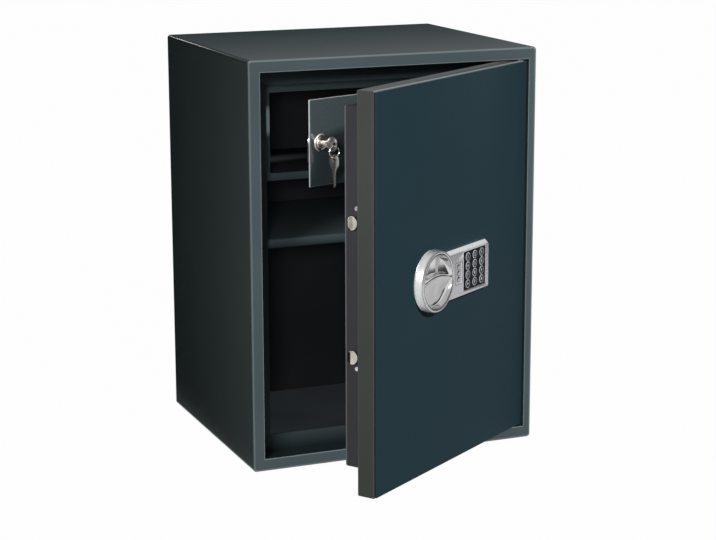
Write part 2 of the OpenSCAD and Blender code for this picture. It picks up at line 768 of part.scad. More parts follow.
module bolt_screws() {
  color("silver") on_door() for (z = bolt_z()) {
    rod_x([bolt_end + bar_t, bolt_end + bar_t + 4], bolt_depth, z, bolt_screw_r + 2);
    rod_x([bolt_end - bolt_screw_len, bolt_end + bar_t], bolt_depth, z, bolt_screw_r);
  }
}

// Inner compartment's door and lock

module inner_door() {
  color("#2a2f33") on_inner_door() difference() {
    block(inner_x, [inner_front, inner_front + inner_t], inner_z);
    rod_y(inner_lock_x, [inner_front - cut, comp_depth], inner_lock_z, barrel_r + fit);
    for (z = [[inner_z[0] - cut, comp_open_z[0] + 0.3], [comp_open_z[1] - 0.3, inner_z[1] + cut]])
      block([inner_hinge_x - inner_notch_w, inner_x[1] + cut], [inner_front - cut, comp_depth], z);
  }
}

module inner_hinge_pins() {
  x = [inner_hinge_x - inner_block_w / 2, inner_hinge_x + inner_block_w / 2];
  d = [inner_front + inner_t, inner_axis_d + inner_block_w / 2];
  reach = inner_gap + inner_bracket_t;
  low = comp_open_z[0] + 0.3;
  high = comp_open_z[1] - 0.3;
  color("#3a3f42") on_inner_door() {
    block(x, d, [low, low + inner_block_h]);
    rod_z(inner_hinge_x, inner_axis_d, [low - 0.3 - reach, low], inner_pin_r);
    block(x, d, [high - inner_block_h, high]);
    rod_z(inner_hinge_x, inner_axis_d, [high, high + 0.3 + reach], inner_pin_r);
  }
}

module lock_barrel() {
  color("silver") on_inner_door() difference() {
    union() {
      rod_y(inner_lock_x, [rosette_front, inner_front], inner_lock_z, rosette_dia / 2);
      rod_y(inner_lock_x, [inner_front, barrel_back], inner_lock_z, barrel_r);
    }
    rod_y(inner_lock_x, [rosette_front - cut, barrel_back + cut], inner_lock_z, plug_r + fit);
  }
}

module barrel_nut() {
  d = [inner_front + inner_t, inner_front + inner_t + nut_t];
  color("silver") on_inner_door() difference() {
    translate([inner_lock_x, front + d[1], inner_lock_z]) rotate([90, 0, 0])
      cylinder(h = nut_t, r = nut_r, $fn = 6);
    rod_y(inner_lock_x, [d[0] - cut, d[1] + cut], inner_lock_z, barrel_r + press);
  }
}

module lock_plug() {
  blade = [blade_w + 2 * key_slot_gap, key_t + 2 * key_slot_gap];
  tip = rosette_front + key_reach - bow_out + 1;
  color("#d0d0d4") on_inner_door() difference() {
    rod_y(inner_lock_x, [rosette_front, barrel_back + cam_gap], inner_lock_z, plug_r);
    block([inner_lock_x - blade[1] / 2, inner_lock_x + blade[1] / 2], [rosette_front - cut, tip],
          [inner_lock_z - blade[0] / 2, inner_lock_z + blade[0] / 2]);
  }
}

module lock_cam() {
  d = [barrel_back + cam_gap, barrel_back + cam_gap + cam_t];
  color("#9a9ca0") on_inner_door() {
    rod_y(inner_lock_x, d, inner_lock_z, cam_r);
    block([inner_lock_x - cam_r, inner_lock_x + cam_r], d, [inner_lock_z - cam_len, inner_lock_z]);
    rod_y(inner_lock_x, [d[1], d[1] + 3], inner_lock_z, 4);
  }
}

// A key in the plane of depth and height: bow at the origin, blade along +Y
module key_shape() {
  difference() {
    union() {
      translate([-key_t / 2, 0, 0]) rotate([0, 90, 0]) cylinder(h = key_t, r = bow_r);
      translate([-key_t / 2, 0, -blade_w / 2]) cube([key_t, key_reach - blade_w / 2, blade_w]);
      translate([-key_t / 2, key_reach - blade_w / 2, 0]) rotate([0, 90, 0]) cylinder(h = key_t, r = blade_w / 2);
    }
    translate([-key_t / 2 - cut, -bow_hole_out, 0]) rotate([0, 90, 0])
      cylinder(h = key_t + 2 * cut, r = bow_hole_r);
  }
}

module key_inserted() {
  color("silver") on_inner_door()
    translate([inner_lock_x, front + rosette_front - bow_out, inner_lock_z]) key_shape();
}

module key_ring() {
  color("silver") on_inner_door()
    translate([inner_lock_x, front + ring_d, ring_top_z - ring_r]) rotate([90, 0, 0])
      rotate_extrude() translate([ring_r, 0]) circle(ring_wire_r);
}

module spare_key() {
  color("silver") on_inner_door()
    translate([inner_lock_x, front + ring_d, spare_hole_z - bow_hole_out]) rotate([-90, 0, 0]) key_shape();
}

cabinet_shell();
back_panel();
door_rebate();
hinge_plates();
compartment_floor();
compartment_frame();
inner_hinge_brackets();
shelf();
shelf_rests();
door_front();
door_backplate();
door_pan();
hinge_blocks();
hinge_pins();
spindle_bush();
bolt_guides();
pan_screws();
lock_magnet();
circuit_board();
keypad_lead();
battery_holder();
battery_cells();
battery_cover();
lock_housing();
housing_screws();
keypad_plate();
indicator_window();
bolt_upper();
bolt_lower();
bolt_bar();
bolt_screws();
knob();
spindle();
drive_arm();
magnet_plunger();
key_cap(0);  // key_1
key_cap(1);  // key_2
key_cap(2);  // key_3
key_cap(3);  // key_4
key_cap(4);  // key_5
key_cap(5);  // key_6
key_cap(6);  // key_7
key_cap(7);  // key_8
key_cap(8);  // key_9
key_cap(9);  // key_star
key_cap(10);  // key_0
key_cap(11);  // key_hash
inner_door();
inner_hinge_pins();
lock_barrel();
barrel_nut();
lock_plug();
lock_cam();
key_inserted();
key_ring();
spare_key();
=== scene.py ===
"""Looks of a furniture safe whose door stands open: folded sheet steel, a turning knob, a keypad and an
inner lock.

Lengths in the piece functions are millimetres in the cabinet's frame with both doors closed: x to the right,
depth behind the cabinet's front, z up. A place matrix (CABINET, DOOR or INNER) takes them to metres.
"""

import math

import bmesh
import bpy
from mathutils import Matrix, Vector


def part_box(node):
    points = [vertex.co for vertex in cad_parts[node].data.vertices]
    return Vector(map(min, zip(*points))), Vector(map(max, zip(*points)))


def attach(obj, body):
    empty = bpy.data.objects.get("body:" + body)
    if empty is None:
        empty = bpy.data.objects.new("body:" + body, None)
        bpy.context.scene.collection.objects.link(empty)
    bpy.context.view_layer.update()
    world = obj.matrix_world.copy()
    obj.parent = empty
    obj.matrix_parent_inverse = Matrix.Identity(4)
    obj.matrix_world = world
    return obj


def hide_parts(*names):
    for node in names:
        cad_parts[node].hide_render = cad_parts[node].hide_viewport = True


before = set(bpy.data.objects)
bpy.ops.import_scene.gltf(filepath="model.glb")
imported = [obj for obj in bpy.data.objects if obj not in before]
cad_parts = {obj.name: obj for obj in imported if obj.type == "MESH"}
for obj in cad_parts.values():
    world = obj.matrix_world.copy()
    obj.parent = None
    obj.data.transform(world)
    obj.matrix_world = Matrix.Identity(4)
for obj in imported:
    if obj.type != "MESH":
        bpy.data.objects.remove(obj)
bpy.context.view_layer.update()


def wider(pair, by):
    """Range grown by the same length at both ends"""
    return (pair[0] - by, pair[1] + by)


MM = 0.001
FRONT = -190.0          # the cabinet's front along Y

# Cabinet
WIDE = (-225.0, 225.0)
HIGH = (0.0, 600.0)
DEEP = 380.0
SHEET = 2.0
INSIDE_X = wider(WIDE, -SHEET)
INSIDE_Z = wider(HIGH, -SHEET)
CORNER_BAND = 4.4       # how far the bend between two sides reaches in from each of them
LIP_X = (-207.0, 213.0)
LIP_Z = (18.0, 582.0)
STOP_X = (-184.0, 190.0)
STOP_Z = (41.0, 559.0)
REBATE = 40.0
STOP_T = 3.0
ANCHOR_X = 150.0
ANCHOR_R = 6.0
WALL_ANCHOR_Z = 365.0

# Shelf
SHELF_X = (-222.0, 222.0)
SHELF_D = (85.0, 370.0)
SHELF_Z = (312.0, 325.0)
SHELF_T = 1.5

# Door, drawn closed
DOOR_X = (-205.0, 210.0)
DOOR_Z = (20.0, 580.0)
SLAB = 30.0
HINGE = (201.5, 8.5)
HINGE_HOLE = 4.02
DOOR_OPEN = 34.5        # degrees
HINGE_ROUND = 4.0
HINGE_REACH = 1.2
PAN_X = (-173.0, 178.0)
PAN_Z = (47.0, 553.0)
PAN_BACK = 71.0
PAN_SHEET = 1.5
BATTERY_X = (32.0, 94.0)
BATTERY_Z = (192.5, 244.0)
COVER_X = (23.0, 103.0)
BOLT_Z = (206.0, 394.0)
BOLT_DEPTH = 57.0
BOLT_X = (-178.0, -128.0)
BOLT_R = 10.0
BOLT_SCREW_R = 3.02
PAN_SCREW_Z = (190.0, 414.0)
PAN_SCREW_DEPTH = 51.0

# Lock on the door
KNOB_X = -66.0
LOCK_Z = 300.0
KNOB_R = 44.0
KNOB_BACK = -2.5
KNOB_FRONT = -15.0
BOWL_R = 37.0
BOWL_WALL = 33.2        # radius at which the bowl's floor starts to rise to its rim
SPINDLE_R = 5.02
BUSH_R = 8.02
HOUSING_X = (-66.0, 80.0)
HOUSING_Z = (265.0, 335.0)
HOUSING_T = 12.0
HOUSING_SCREW_X = -1.0
HOUSING_SCREW_Z = (273.0, 327.0)
SCREW_HOLE = 2.02
FIELD_X = (8.0, 70.0)
FIELD_Z = (272.0, 328.0)
FIELD_MID = 39.0
FIELD_FRONT = -11.5
POCKET_FLOOR = -4.0
LEAD_HOLE = 2.9
KEY_R = 5.9
KEY_FRONT = -12.4
KEY_PITCH = (19.5, 13.2)
WINDOW_X = (-15.0, 4.0)
WINDOW_Z = (284.0, 316.0)

# Inner compartment
COMP_DEPTH = 118.0
COMP_X = (-151.0, 188.0)
COMP_Z = (417.5, 537.0)
COMP_FLOOR = 406.0
INNER_X = (-156.0, 181.0)
INNER_Z = (414.5, 540.0)
INNER_D = (114.5, 117.5)
INNER_HINGE = (176.0, 124.0)
INNER_OPEN = 20.0       # degrees
INNER_NOTCH_X = (170.0, 182.0)
CYLINDER = (-135.0, 477.25)
ROSETTE_FRONT = 112.5
BARREL_BACK = 134.0

# Keys of the inner lock: a bow's hole lies behind its centre, away from the blade
BOW = (CYLINDER[0], ROSETTE_FRONT - 22.0, CYLINDER[1])
BOW_HOLE = -4.5
RING_R = 9.0
HANG = 1.2              # from the middle of a hole down to what hangs in it
RING_TOP = (BOW[0], BOW[1] + BOW_HOLE, BOW[2] - HANG)
SPARE_BOW = (BOW[0], RING_TOP[1], RING_TOP[2] - 2 * RING_R - HANG + BOW_HOLE)

CABINET = Matrix.Translation((0, FRONT * MM, 0)) @ Matrix.Scale(MM, 4)


def swung(pivot, degrees):
    """Place matrix of what hangs on a hinge at (x, depth)"""
    at = Vector((pivot[0], FRONT + pivot[1], 0)) * MM
    turn = Matrix.Rotation(math.radians(degrees), 4, "Z")
    return Matrix.Translation(at) @ turn @ Matrix.Translation(-at) @ CABINET


DOOR = swung(HINGE, DOOR_OPEN)
INNER = swung(INNER_HINGE, INNER_OPEN)
INTO_LOCK = Matrix(((0, 0, 1, 0), (1, 0, 0, 0), (0, 1, 0, 0), (0, 0, 0, 1)))
HANGING = Matrix(((0, 0, 1, 0), (0, 1, 0, 0), (-1, 0, 0, 0), (0, 0, 0, 1)))


# Nodes

WHITE = (1, 1, 1, 1)
GREY = (0.1, 0.1, 0.1, 1)
SURFACE = {"Colour": "Color", "Roughness": "Float", "Normal": "Vector"}


def tone(hexa):
    """Linear colour of an sRGB hex code"""
    parts = [int(hexa[i:i + 2], 16) / 255 for i in (1, 3, 5)]
    return [p / 12.92 if p <= 0.04045 else ((p + 0.055) / 1.055) ** 2.4 for p in parts] + [1.0]


def node_group(name, kind, inputs, outputs):
    """Node group with its input sockets; each socket is given by its default value or by its kind"""
    group = bpy.data.node_groups.new(name, kind)
    for side, sockets in (("INPUT", inputs), ("OUTPUT", outputs)):
        for label, value in sockets.items():
            if isinstance(value, str):
                sort = value
            else:
                sort = "Float" if isinstance(value, float) else {3: "Vector", 4: "Color"}[len(value)]
            socket = group.interface.new_socket(name=label, in_out=side, socket_type="NodeSocket" + sort)
            if not isinstance(value, str):
                socket.default_value = value
    return group, group.nodes.new("NodeGroupInput").outputs


def connect(tree, value, socket):
    """Link or plain value on an input"""
    if isinstance(value, bpy.types.NodeSocket):
        tree.links.new(value, socket)
    else:
        socket.default_value = value


def add(tree, kind, how=None, **sockets):
    """Node with values or links on its inputs, named with _ for a space, or by i0, i1 ... for their place"""
    made = tree.nodes.new(kind)
    if how:
        made.operation = how
    for label, value in sockets.items():
        by_place = label[0] == "i" and label[1:].isdigit()
        connect(tree, value, made.inputs[int(label[1:]) if by_place else label.replace("_", " ")])
    return made


def mixed(tree, factor, low, high):
    """Colour between two colours"""
    made = tree.nodes.new("ShaderNodeMix")
    made.data_type = "RGBA"
    for place, value in ((0, factor), (6, low), (7, high)):
        connect(tree, value, made.inputs[place])
    return made.outputs[2]


def ramp(tree, value, low, high, out_low=0.0, out_high=1.0):
    """Value stretched from one range to another and held inside it"""
    return add(tree, "ShaderNodeMapRange", i0=value, i1=low, i2=high, i3=out_low, i4=out_high).outputs[0]


def maths(tree, how, a, b):
    """Result of one operation on two values"""
    return add(tree, "ShaderNodeMath", how, i0=a, i1=b).outputs[0]


def noise(tree, place, scale, detail=2.0):
    return add(tree, "ShaderNodeTexNoise", Vector=place, Scale=scale, Detail=detail).outputs[0]


def bump(tree, height, strength, millimetres):
    """Normal of a relief of so many millimetres"""
    distance = maths(tree, "MULTIPLY", millimetres, MM)
    return add(tree, "ShaderNodeBump", Strength=strength, Distance=distance, Height=height).outputs[0]


def seen(tree):
    """1 for what the camera, gloss and glass look at, 0 for the light that falls on things"""
    path = tree.nodes.new("ShaderNodeLightPath").outputs
    looked = maths(tree, "MAXIMUM", path["Is Camera Ray"], path["Is Glossy Ray"])
    return maths(tree, "MAXIMUM", looked, path["Is Transmission Ray"])


# Finishes

def powder_coat():
    """Sprayed powder paint: fine grain, slow drift of tone, and a painted highlight: paler paint along the
    folded edges and rims that carry an edge mark
    """
    group, given = node_group("powder_coat", "ShaderNodeTree", {
        "Colour": GREY, "Drift Colour": GREY, "Edge Colour": GREY, "Grain Scale": 1400.0,
        "Grain Height": 0.05, "Edge Share": 0.6, "Base Roughness": 0.5}, SURFACE)
    place = add(group, "ShaderNodeTexCoord").outputs["Object"]
    drift = noise(group, place, 7.0)
    grain = noise(group, place, given["Grain Scale"])
    flow = noise(group, place, 300.0, 1.0)
    mark = add(group, "ShaderNodeAttribute")
    mark.attribute_name = "edge"
    body = mixed(group, ramp(group, drift, 0.35, 0.65), given["Colour"], given["Drift Colour"])
    fleck = ramp(group, grain, 0.3, 0.7, 0.90, 1.10)
    speckled = add(group, "ShaderNodeVectorMath", "MULTIPLY", i0=body, i1=fleck).outputs[0]
    # Painted highlight: the edge mark blends the paint towards its pale edge colour
    edge_highlight = maths(group, "MULTIPLY", mark.outputs["Fac"], given["Edge Share"])
    rough = maths(group, "ADD", given["Base Roughness"], ramp(group, flow, 0.3, 0.7, -0.05, 0.05))
    height = maths(group, "ADD", grain, maths(group, "MULTIPLY", flow, 0.6))
    add(group, "NodeGroupOutput", Colour=mixed(group, edge_highlight, speckled, given["Edge Colour"]), Roughness=rough,
        Normal=bump(group, height, 0.5, given["Grain Height"]))
    return group


def drawn_metal():
    """Metal with fine marks drawn along one way and faint smudges"""
    group, given = node_group("drawn_metal", "ShaderNodeTree", {
        "Colour": GREY, "Dull Colour": GREY, "Mark Stretch": (1.0, 1.0, 1.0), "Mark Scale": 400.0,
        "Mark Height": 0.01, "Base Roughness": 0.2, "Spread": 0.08}, SURFACE)
    place = add(group, "ShaderNodeTexCoord").outputs["Object"]
    along = add(group, "ShaderNodeVectorMath", "MULTIPLY", i0=place, i1=given["Mark Stretch"]).outputs[0]
    marks = noise(group, along, given["Mark Scale"], 3.0)
    smudge = noise(group, place, 45.0, 3.0)
    colour = mixed(group, ramp(group, smudge, 0.35, 0.7), given["Colour"], given["Dull Colour"])
    streaks = maths(group, "MULTIPLY", ramp(group, marks, 0.3, 0.7, -0.5, 0.5), given["Spread"])
    rough = maths(group, "ADD", given["Base Roughness"], streaks)
    add(group, "NodeGroupOutput", Colour=colour, Roughness=rough,
        Normal=bump(group, marks, 0.4, given["Mark Height"]))
    return group


def moulded():
    """Moulded or printed surface: very fine grain and a slow change of gloss"""
    group, given = node_group("moulded", "ShaderNodeTree", {
        "Colour": GREY, "Worn Colour": GREY, "Grain Scale": 2500.0, "Grain Height": 0.02,
        "Base Roughness": 0.4}, SURFACE)
    place = add(group, "ShaderNodeTexCoord").outputs["Object"]
    grain = noise(group, place, given["Grain Scale"])
    wipe = noise(group, place, 60.0)
    colour = mixed(group, ramp(group, wipe, 0.35, 0.75), given["Colour"], given["Worn Colour"])
    rough = maths(group, "ADD", given["Base Roughness"], ramp(group, wipe, 0.3, 0.7, -0.05, 0.07))
    add(group, "NodeGroupOutput", Colour=colour, Roughness=rough,
        Normal=bump(group, grain, 0.4, given["Grain Height"]))
    return group


POWDER = powder_coat()
METAL = drawn_metal()
PLASTIC = moulded()


def finish(name, group, sockets, **plain):
    """Material: a Principled shader fed by one group, its plain numbers on its own sockets"""
    made = bpy.data.materials.new(name)
    made.use_nodes = True
    tree = made.node_tree
    shader = tree.nodes["Principled BSDF"]
    source = tree.nodes.new("ShaderNodeGroup")
    source.node_tree = group
    for label, value in sockets.items():
        source.inputs[label].default_value = value
    for label, target in (("Colour", "Base Color"), ("Roughness", "Roughness"), ("Normal", "Normal")):
        tree.links.new(source.outputs[label], shader.inputs[target])
    for label, value in plain.items():
        shader.inputs[label.replace("_", " ")].default_value = value
    made.diffuse_color = sockets["Colour"]
    return made


def paint(name, colour, drift, edge, grain=1400.0, height=0.05, share=0.6, rough=0.5, **plain):
    return finish(name, POWDER, {
        "Colour": tone(colour), "Drift Colour": tone(drift), "Edge Colour": tone(edge), "Grain Scale": grain,
        "Grain Height": height, "Edge Share": share, "Base Roughness": rough}, **plain)


def metal(name, colour, dull, rough, spread=0.08, stretch=(1, 1, 1), scale=400.0, height=0.01):
    return finish(name, METAL, {
        "Colour": tone(colour), "Dull Colour": tone(dull), "Mark Stretch": stretch, "Mark Scale": scale,
        "Mark Height": height, "Base Roughness": rough, "Spread": spread}, Metallic=1.0)


def plastic(name, colour, edge_highlight, rough, grain=2500.0, height=0.02, **plain):
    return finish(name, PLASTIC, {
        "Colour": tone(colour), "Worn Colour": tone(edge_highlight), "Grain Scale": grain, "Grain Height": height,
        "Base Roughness": rough}, **plain)


# The third colour of each paint is the painted highlight laid along its marked edges
CABINET_PAINT = paint("cabinet_powder", "#4b5659", "#475255", "#eef1f2", height=0.09, share=0.9, rough=0.55,
                      Specular_IOR_Level=0.03)
CORNER_PAINT = paint("corner_powder", "#4b5659", "#475255", "#eef1f2", height=0.03, share=0.9, rough=0.2,
                     Specular_IOR_Level=0.5)
# Painted shade: a darker copy of the cabinet's powder for the shade in the door's recess; the shelf and the
# compartment front share it
REBATE_SHADED_PAINT = paint("rebate_powder", "#37454a", "#324044", "#6f7d82", height=0.14, Specular_IOR_Level=0.15)
INSIDE_PAINT = paint("inside_powder", "#34383b", "#2e3235", "#54595c", height=0.12, rough=0.6,
                     Specular_IOR_Level=0.1)
DOOR_FACE_PAINT = paint("door_face_powder", "#293d45", "#283c44", "#66767c", grain=900.0, height=0.012,
                        rough=0.42, Specular_IOR_Level=0.015)
DOOR_EDGE_PAINT = paint("door_edge_powder", "#525451", "#4d4f4d", "#9aa0a0", height=0.10, share=0.8,
                        rough=0.55, Specular_IOR_Level=0.08)
PAN_PAINT = paint("pan_powder", "#59585d", "#525156", "#a2a2a6", height=0.10, share=0.8, rough=0.55,
                  Specular_IOR_Level=0.1)
INNER_PAINT = paint("inner_enamel", "#3f494c", "#3a4346", "#b4b9ba", grain=500.0, height=0.004, share=0.9,
                    rough=0.2, Specular_IOR_Level=0.5, Coat_Weight=0.4, Coat_Roughness=0.08)
# Painted highlight: pale paint on the inner leaf's cut edge
LEAF_EDGE_HIGHLIGHT = paint("leaf_edge", "#c9cfd1", "#bcc3c5", "#f2f4f4", grain=2200.0, height=0.01, rough=0.35,
                  Specular_IOR_Level=0.4)
STEEL = metal("zinc_steel", "#8f9398", "#7f8388", 0.34, spread=0.14, scale=250.0)
BRIGHT = metal("bright_nickel", "#d9d8d4", "#c6c4bf", 0.14, spread=0.06, scale=300.0)
KNOB_METAL = metal("knob_chrome", "#d6d6d6", "#c9c8ca", 0.15, spread=0.05, scale=700.0, height=0.003)
WALL_METAL = metal("turned_chrome", "#e3e4e4", "#d6d7d8", 0.32, spread=0.14, stretch=(1, 1, 0.08),
                   scale=900.0, height=0.006)
HOUSING_METAL = metal("housing_chrome", "#e0dfe2", "#d4d3d7", 0.26, stretch=(1, 1, 0.15), scale=900.0,
                      height=0.004)
KEY_NICKEL = metal("key_nickel", "#e2dfda", "#cfccc6", 0.30, spread=0.10, scale=500.0, height=0.006)
BRASS = metal("turned_brass", "#b39a68", "#9c8557", 0.28)
KEY_DARK = plastic("key_field_black", "#10151f", "#151b26", 0.36, Specular_IOR_Level=0.06)
KEY_PRINT = plastic("key_print", "#f4f7f9", "#eaeef1", 0.45)
# Painted shade: darker metal laid in the knob rim's grooves
GROOVE_SHADE_METAL = metal("groove_metal", "#747478", "#67676a", 0.45)
BOLT_NICKEL = metal("bolt_nickel", "#cfcac2", "#b5b0a8", 0.12, spread=0.06, scale=500.0)
LENS = plastic("lamp_lens", "#3a3c40", "#45474b", 0.2, Coat_Weight=0.6, Coat_Roughness=0.05)
BLACK_PLASTIC = plastic("moulded_black", "#1a1b1d", "#232426", 0.5, grain=1500.0, height=0.05)
BOARD = plastic("solder_resist", "#1f4d33", "#26573b", 0.3)
WRAP = plastic("printed_wrap", "#b28f42", "#a5823a", 0.25)


# Mesh tools

def arc(start, end, steps):
    """Angles from start to end, in radians"""
    return [math.radians(start + (end - start) * i / steps) for i in range(steps + 1)]


def circle(radius, steps):
    """Points round a circle"""
    angles = [2 * math.pi * i / steps for i in range(steps)]
    return [(radius * math.cos(a), radius * math.sin(a)) for a in angles]


def bend(radius, steps=4):
    """(inset, run) pairs round a folded edge, from the side to the front"""
    return [(radius * (1 - math.cos(a)), radius * (1 - math.sin(a))) for a in arc(0, 90, steps)]


def outline(x, z, radius, depth, inset=0.0, steps=4):
    """Rectangle with round corners at one depth, drawn in by an inset, as points in order"""
    (x0, x1), (z0, z1) = wider(x, -inset), wider(z, -inset)
    points = []
    for cx, cz, start in ((x1 - radius, z1 - radius, 0), (x0 + radius, z1 - radius, 90),
                          (x0 + radius, z0 + radius, 180), (x1 - radius, z0 + radius, 270)):
        points += [(cx + radius * math.cos(a), depth, cz + radius * math.sin(a))
                   for a in arc(start, start + 90, steps)]
    return points


def stack(x, z, rows, steps=4):
    """Rings over one rectangle, from rows of (inset, corner radius, depth, edge mark)"""
    return [(outline(x, z, radius, depth, inset, steps), mark) for inset, radius, depth, mark in rows]


def highlight_marks(mark, steps):
    """Painted-highlight marks of one outline: a value all along, and 1 at the middle of its round corners"""
    corner = [mark] * (steps + 1)
    corner[steps // 2] = 1.0
    return corner * 4


def level(points, along, upright):
    """One outline with its painted-highlight marks: a value for its top and bottom runs, another for its
    upright ones
    """
    low, high = min(p[2] for p in points), max(p[2] for p in points)
    return points, [along if min(p[2] - low, high - p[2]) < 0.3 else upright for p in points]


class Shape:
    """Mesh in the making, in closed millimetres; each ring may be marked for a painted highlight along its
    edge
    """

    def __init__(self):
        self.bm = bmesh.new()
        self.edge = self.bm.verts.layers.float.new("edge")

    def ring(self, points, mark=0.0):
        made = [self.bm.verts.new(p) for p in points]
        for i, v in enumerate(made):
            v[self.edge] = mark[i] if isinstance(mark, list) else mark
        return made

    def face(self, corners, slot=0):
        self.bm.faces.new(corners).material_index = slot

    def band(self, low, high, slot=0):
        for i in range(len(low)):
            j = (i + 1) % len(low)
            self.face((low[i], low[j], high[j], high[i]), slot)

    def loft(self, rings, ends="capped", slots=None):
        """Skin over rings of (points, mark), its ends capped, joined or open; slots gives each band's"""
        made = [self.ring(*ring) for ring in rings]
        pairs = list(zip(made, made[1:])) + ([(made[-1], made[0])] if ends == "joined" else [])
        slots = slots or [0] * len(pairs)
        for (low, high), slot in zip(pairs, slots):
            self.band(low, high, slot)
        if ends == "capped":
            self.face(made[0], slots[0])
            self.face(made[-1], slots[-1])
        return made

    def turned(self, profile, centre, along="y", steps=64, ends="capped", slots=None):
        """Skin turned from (radius, position) pairs round an axis through centre; y runs with the depth"""
        a, b = centre
        lay = {"y": lambda c, at, s: (a + c, at, b + s), "x": lambda c, at, s: (at, a + c, b + s),
               "z": lambda c, at, s: (a + c, b + s, at)}[along]
        rings = [([lay(c, at, s) for c, s in circle(radius, steps)], 0.0) for radius, at in profile]
        return self.loft(rings, ends, slots)

    def box(self, x, d, z, radius):
        """Block with eased edges"""
        ease = [(0.0, radius), (0.3 * radius, 0.3 * radius), (radius, 0.0)]
        rows = [(inset, radius, d[0] + run, 1.0) for run, inset in ease]
        rows += [(inset, radius, d[1] - run, 1.0) for run, inset in reversed(ease)]
        return self.loft(stack(x, z, rows))

    def mesh(self, name, finishes, place, smooth=32.0):
        """The finished mesh, in metres"""
        bmesh.ops.recalc_face_normals(self.bm, faces=self.bm.faces)
        made = bpy.data.meshes.new(name)
        self.bm.to_mesh(made)
        self.bm.free()
        for surface in finishes:
            made.materials.append(surface)
        made.transform(place)
        soften(made, smooth)
        return made


def lofted(name, rings, finishes, place, **how):
    """Mesh of one skin"""
    shape = Shape()
    shape.loft(rings, **how)
    return shape.mesh(name, finishes, place)


def soften(mesh, degrees=32.0):
    """Smooth shading, kept sharp where faces meet at more than an angle"""
    mesh.polygons.foreach_set("use_smooth", [True] * len(mesh.polygons))
    mesh.set_sharp_from_angle(angle=math.radians(degrees))
    mesh.update()


def placed(name, data):
    """Object of some data, in the scene"""
    made = bpy.data.objects.new(name, data)
    bpy.context.scene.collection.objects.link(made)
    return made


def worked(carrier):
    """Plain mesh of what an object's modifiers make of it; the object goes"""
    mesh = bpy.data.meshes.new_from_object(carrier.evaluated_get(bpy.context.evaluated_depsgraph_get()))
    bpy.data.objects.remove(carrier)
    return mesh


def show(mesh, body, *nodes, slot=None):
    """Object for a mesh, on its body, standing for the CAD nodes it replaces"""
    made = placed(mesh.name, mesh)
    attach(made, body)
    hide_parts(*nodes)


def cut(mesh, cutter):
    """Mesh with a closed cutter shape taken out of it"""
    name = mesh.name
    subject, tool = placed(name, mesh), placed(name + "_tool", cutter)
    step = subject.modifiers.new("cut", "BOOLEAN")
    step.operation = "DIFFERENCE"
    step.solver = "EXACT"
    step.object = tool
    result = worked(subject)
    bpy.data.objects.remove(tool)
    for used in (mesh, cutter):
        bpy.data.meshes.remove(used)
    result.name = name
    soften(result)
    return result


def holes(place, rods=(), boxes=()):
    """Cutter of rods (centre, (from, to), radius, axis) and boxes (x, d, z, corner radius)"""
    shape = Shape()
    for centre, span, radius, along in rods:
        shape.turned([(radius, at) for at in span], centre, along, steps=48)
    for x, d, z, radius in boxes:
        shape.loft(stack(x, z, [(0.0, radius, at, 0.0) for at in d]))
    return shape.mesh("holes", [], place)


def eased(node, surface, width, body):
    """Copy of a CAD node with its doubles merged and its sharp edges eased"""
    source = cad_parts[node].data.copy()
    bm = bmesh.new()
    bm.from_mesh(source)
    bmesh.ops.remove_doubles(bm, verts=bm.verts, dist=1e-6)
    bmesh.ops.dissolve_limit(bm, angle_limit=math.radians(2), verts=bm.verts, edges=bm.edges)
    bm.to_mesh(source)
    bm.free()
    source.name = node + "_eased"
    source.materials.clear()
    source.materials.append(surface)
    carrier = placed(source.name, source)
    step = carrier.modifiers.new("ease", "BEVEL")
    step.width = width * MM
    step.segments = 2
    step.limit_method = "ANGLE"
    step.angle_limit = math.radians(40)
    step.use_clamp_overlap = True
    result = worked(carrier)
    result.name = node + "_eased"
    soften(result)
    show(result, body, node)


# Cabinet

def sheet_rim(thick, ease, depth=0.0, fine=0.2):
    """(reach, depth) pairs round the cut edge of a sheet, from its front to its back"""
    near = [(ease, 0.0), (fine, fine), (0.0, ease)]
    return [(out, depth + d) for out, d in near] + [(out, depth + thick - d) for out, d in reversed(near)]


def cabinet_shell():
    """Folded body: sides, top, floor and front lip in one sheet"""
    fold, steps = 2.0, 8
    # Edge marks paint highlights: a near-white line down the middle of each long corner, and pale lines along
    # the front fold and the lip's inner rim
    rings = stack(WIDE, HIGH, [(0.0, 4.5, DEEP, highlight_marks(0.2, steps)),
                               (0.0, 4.5, DEEP - 1, highlight_marks(0.0, steps))], steps)
    rings += [level(outline(WIDE, HIGH, 5.0 - i, d, i, steps), 0.14, 0.11) for i, d in bend(fold)]
    rings += stack(WIDE, HIGH, [(fold + 1.5, 1.5, 0.0, 0.0)], steps)
    rings += stack(LIP_X, LIP_Z, [(-1.5, 2.0, 0.0, 0.0)], steps)
    rings += stack(LIP_X, LIP_Z, [(-out, 0.8 + out, d, 0.16) for out, d in sheet_rim(SHEET, 0.7)], steps)
    rings += stack(INSIDE_X, INSIDE_Z, [(0.0, 2.5, d, 0.0) for d in (SHEET, DEEP)], steps)
    shape = Shape()
    shape.loft(rings, ends="joined", slots=[0] * (len(rings) - 3) + [1, 1, 0])
    for face in shape.bm.faces:
        middle = face.calc_center_median()
        if abs(middle.x) > WIDE[1] - CORNER_BAND and min(middle.z, HIGH[1] - middle.z) < CORNER_BAND:
            face.material_index = 2
    body = shape.mesh("cabinet_body", [CABINET_PAINT, INSIDE_PAINT, CORNER_PAINT], CABINET)
    anchors = [((x, DEEP / 2), (-1, SHEET + 1), ANCHOR_R, "z") for x in (-ANCHOR_X, ANCHOR_X)]
    show(cut(body, holes(CABINET, anchors)), "cabinet", "cabinet_shell", slot="cabinet_paint")


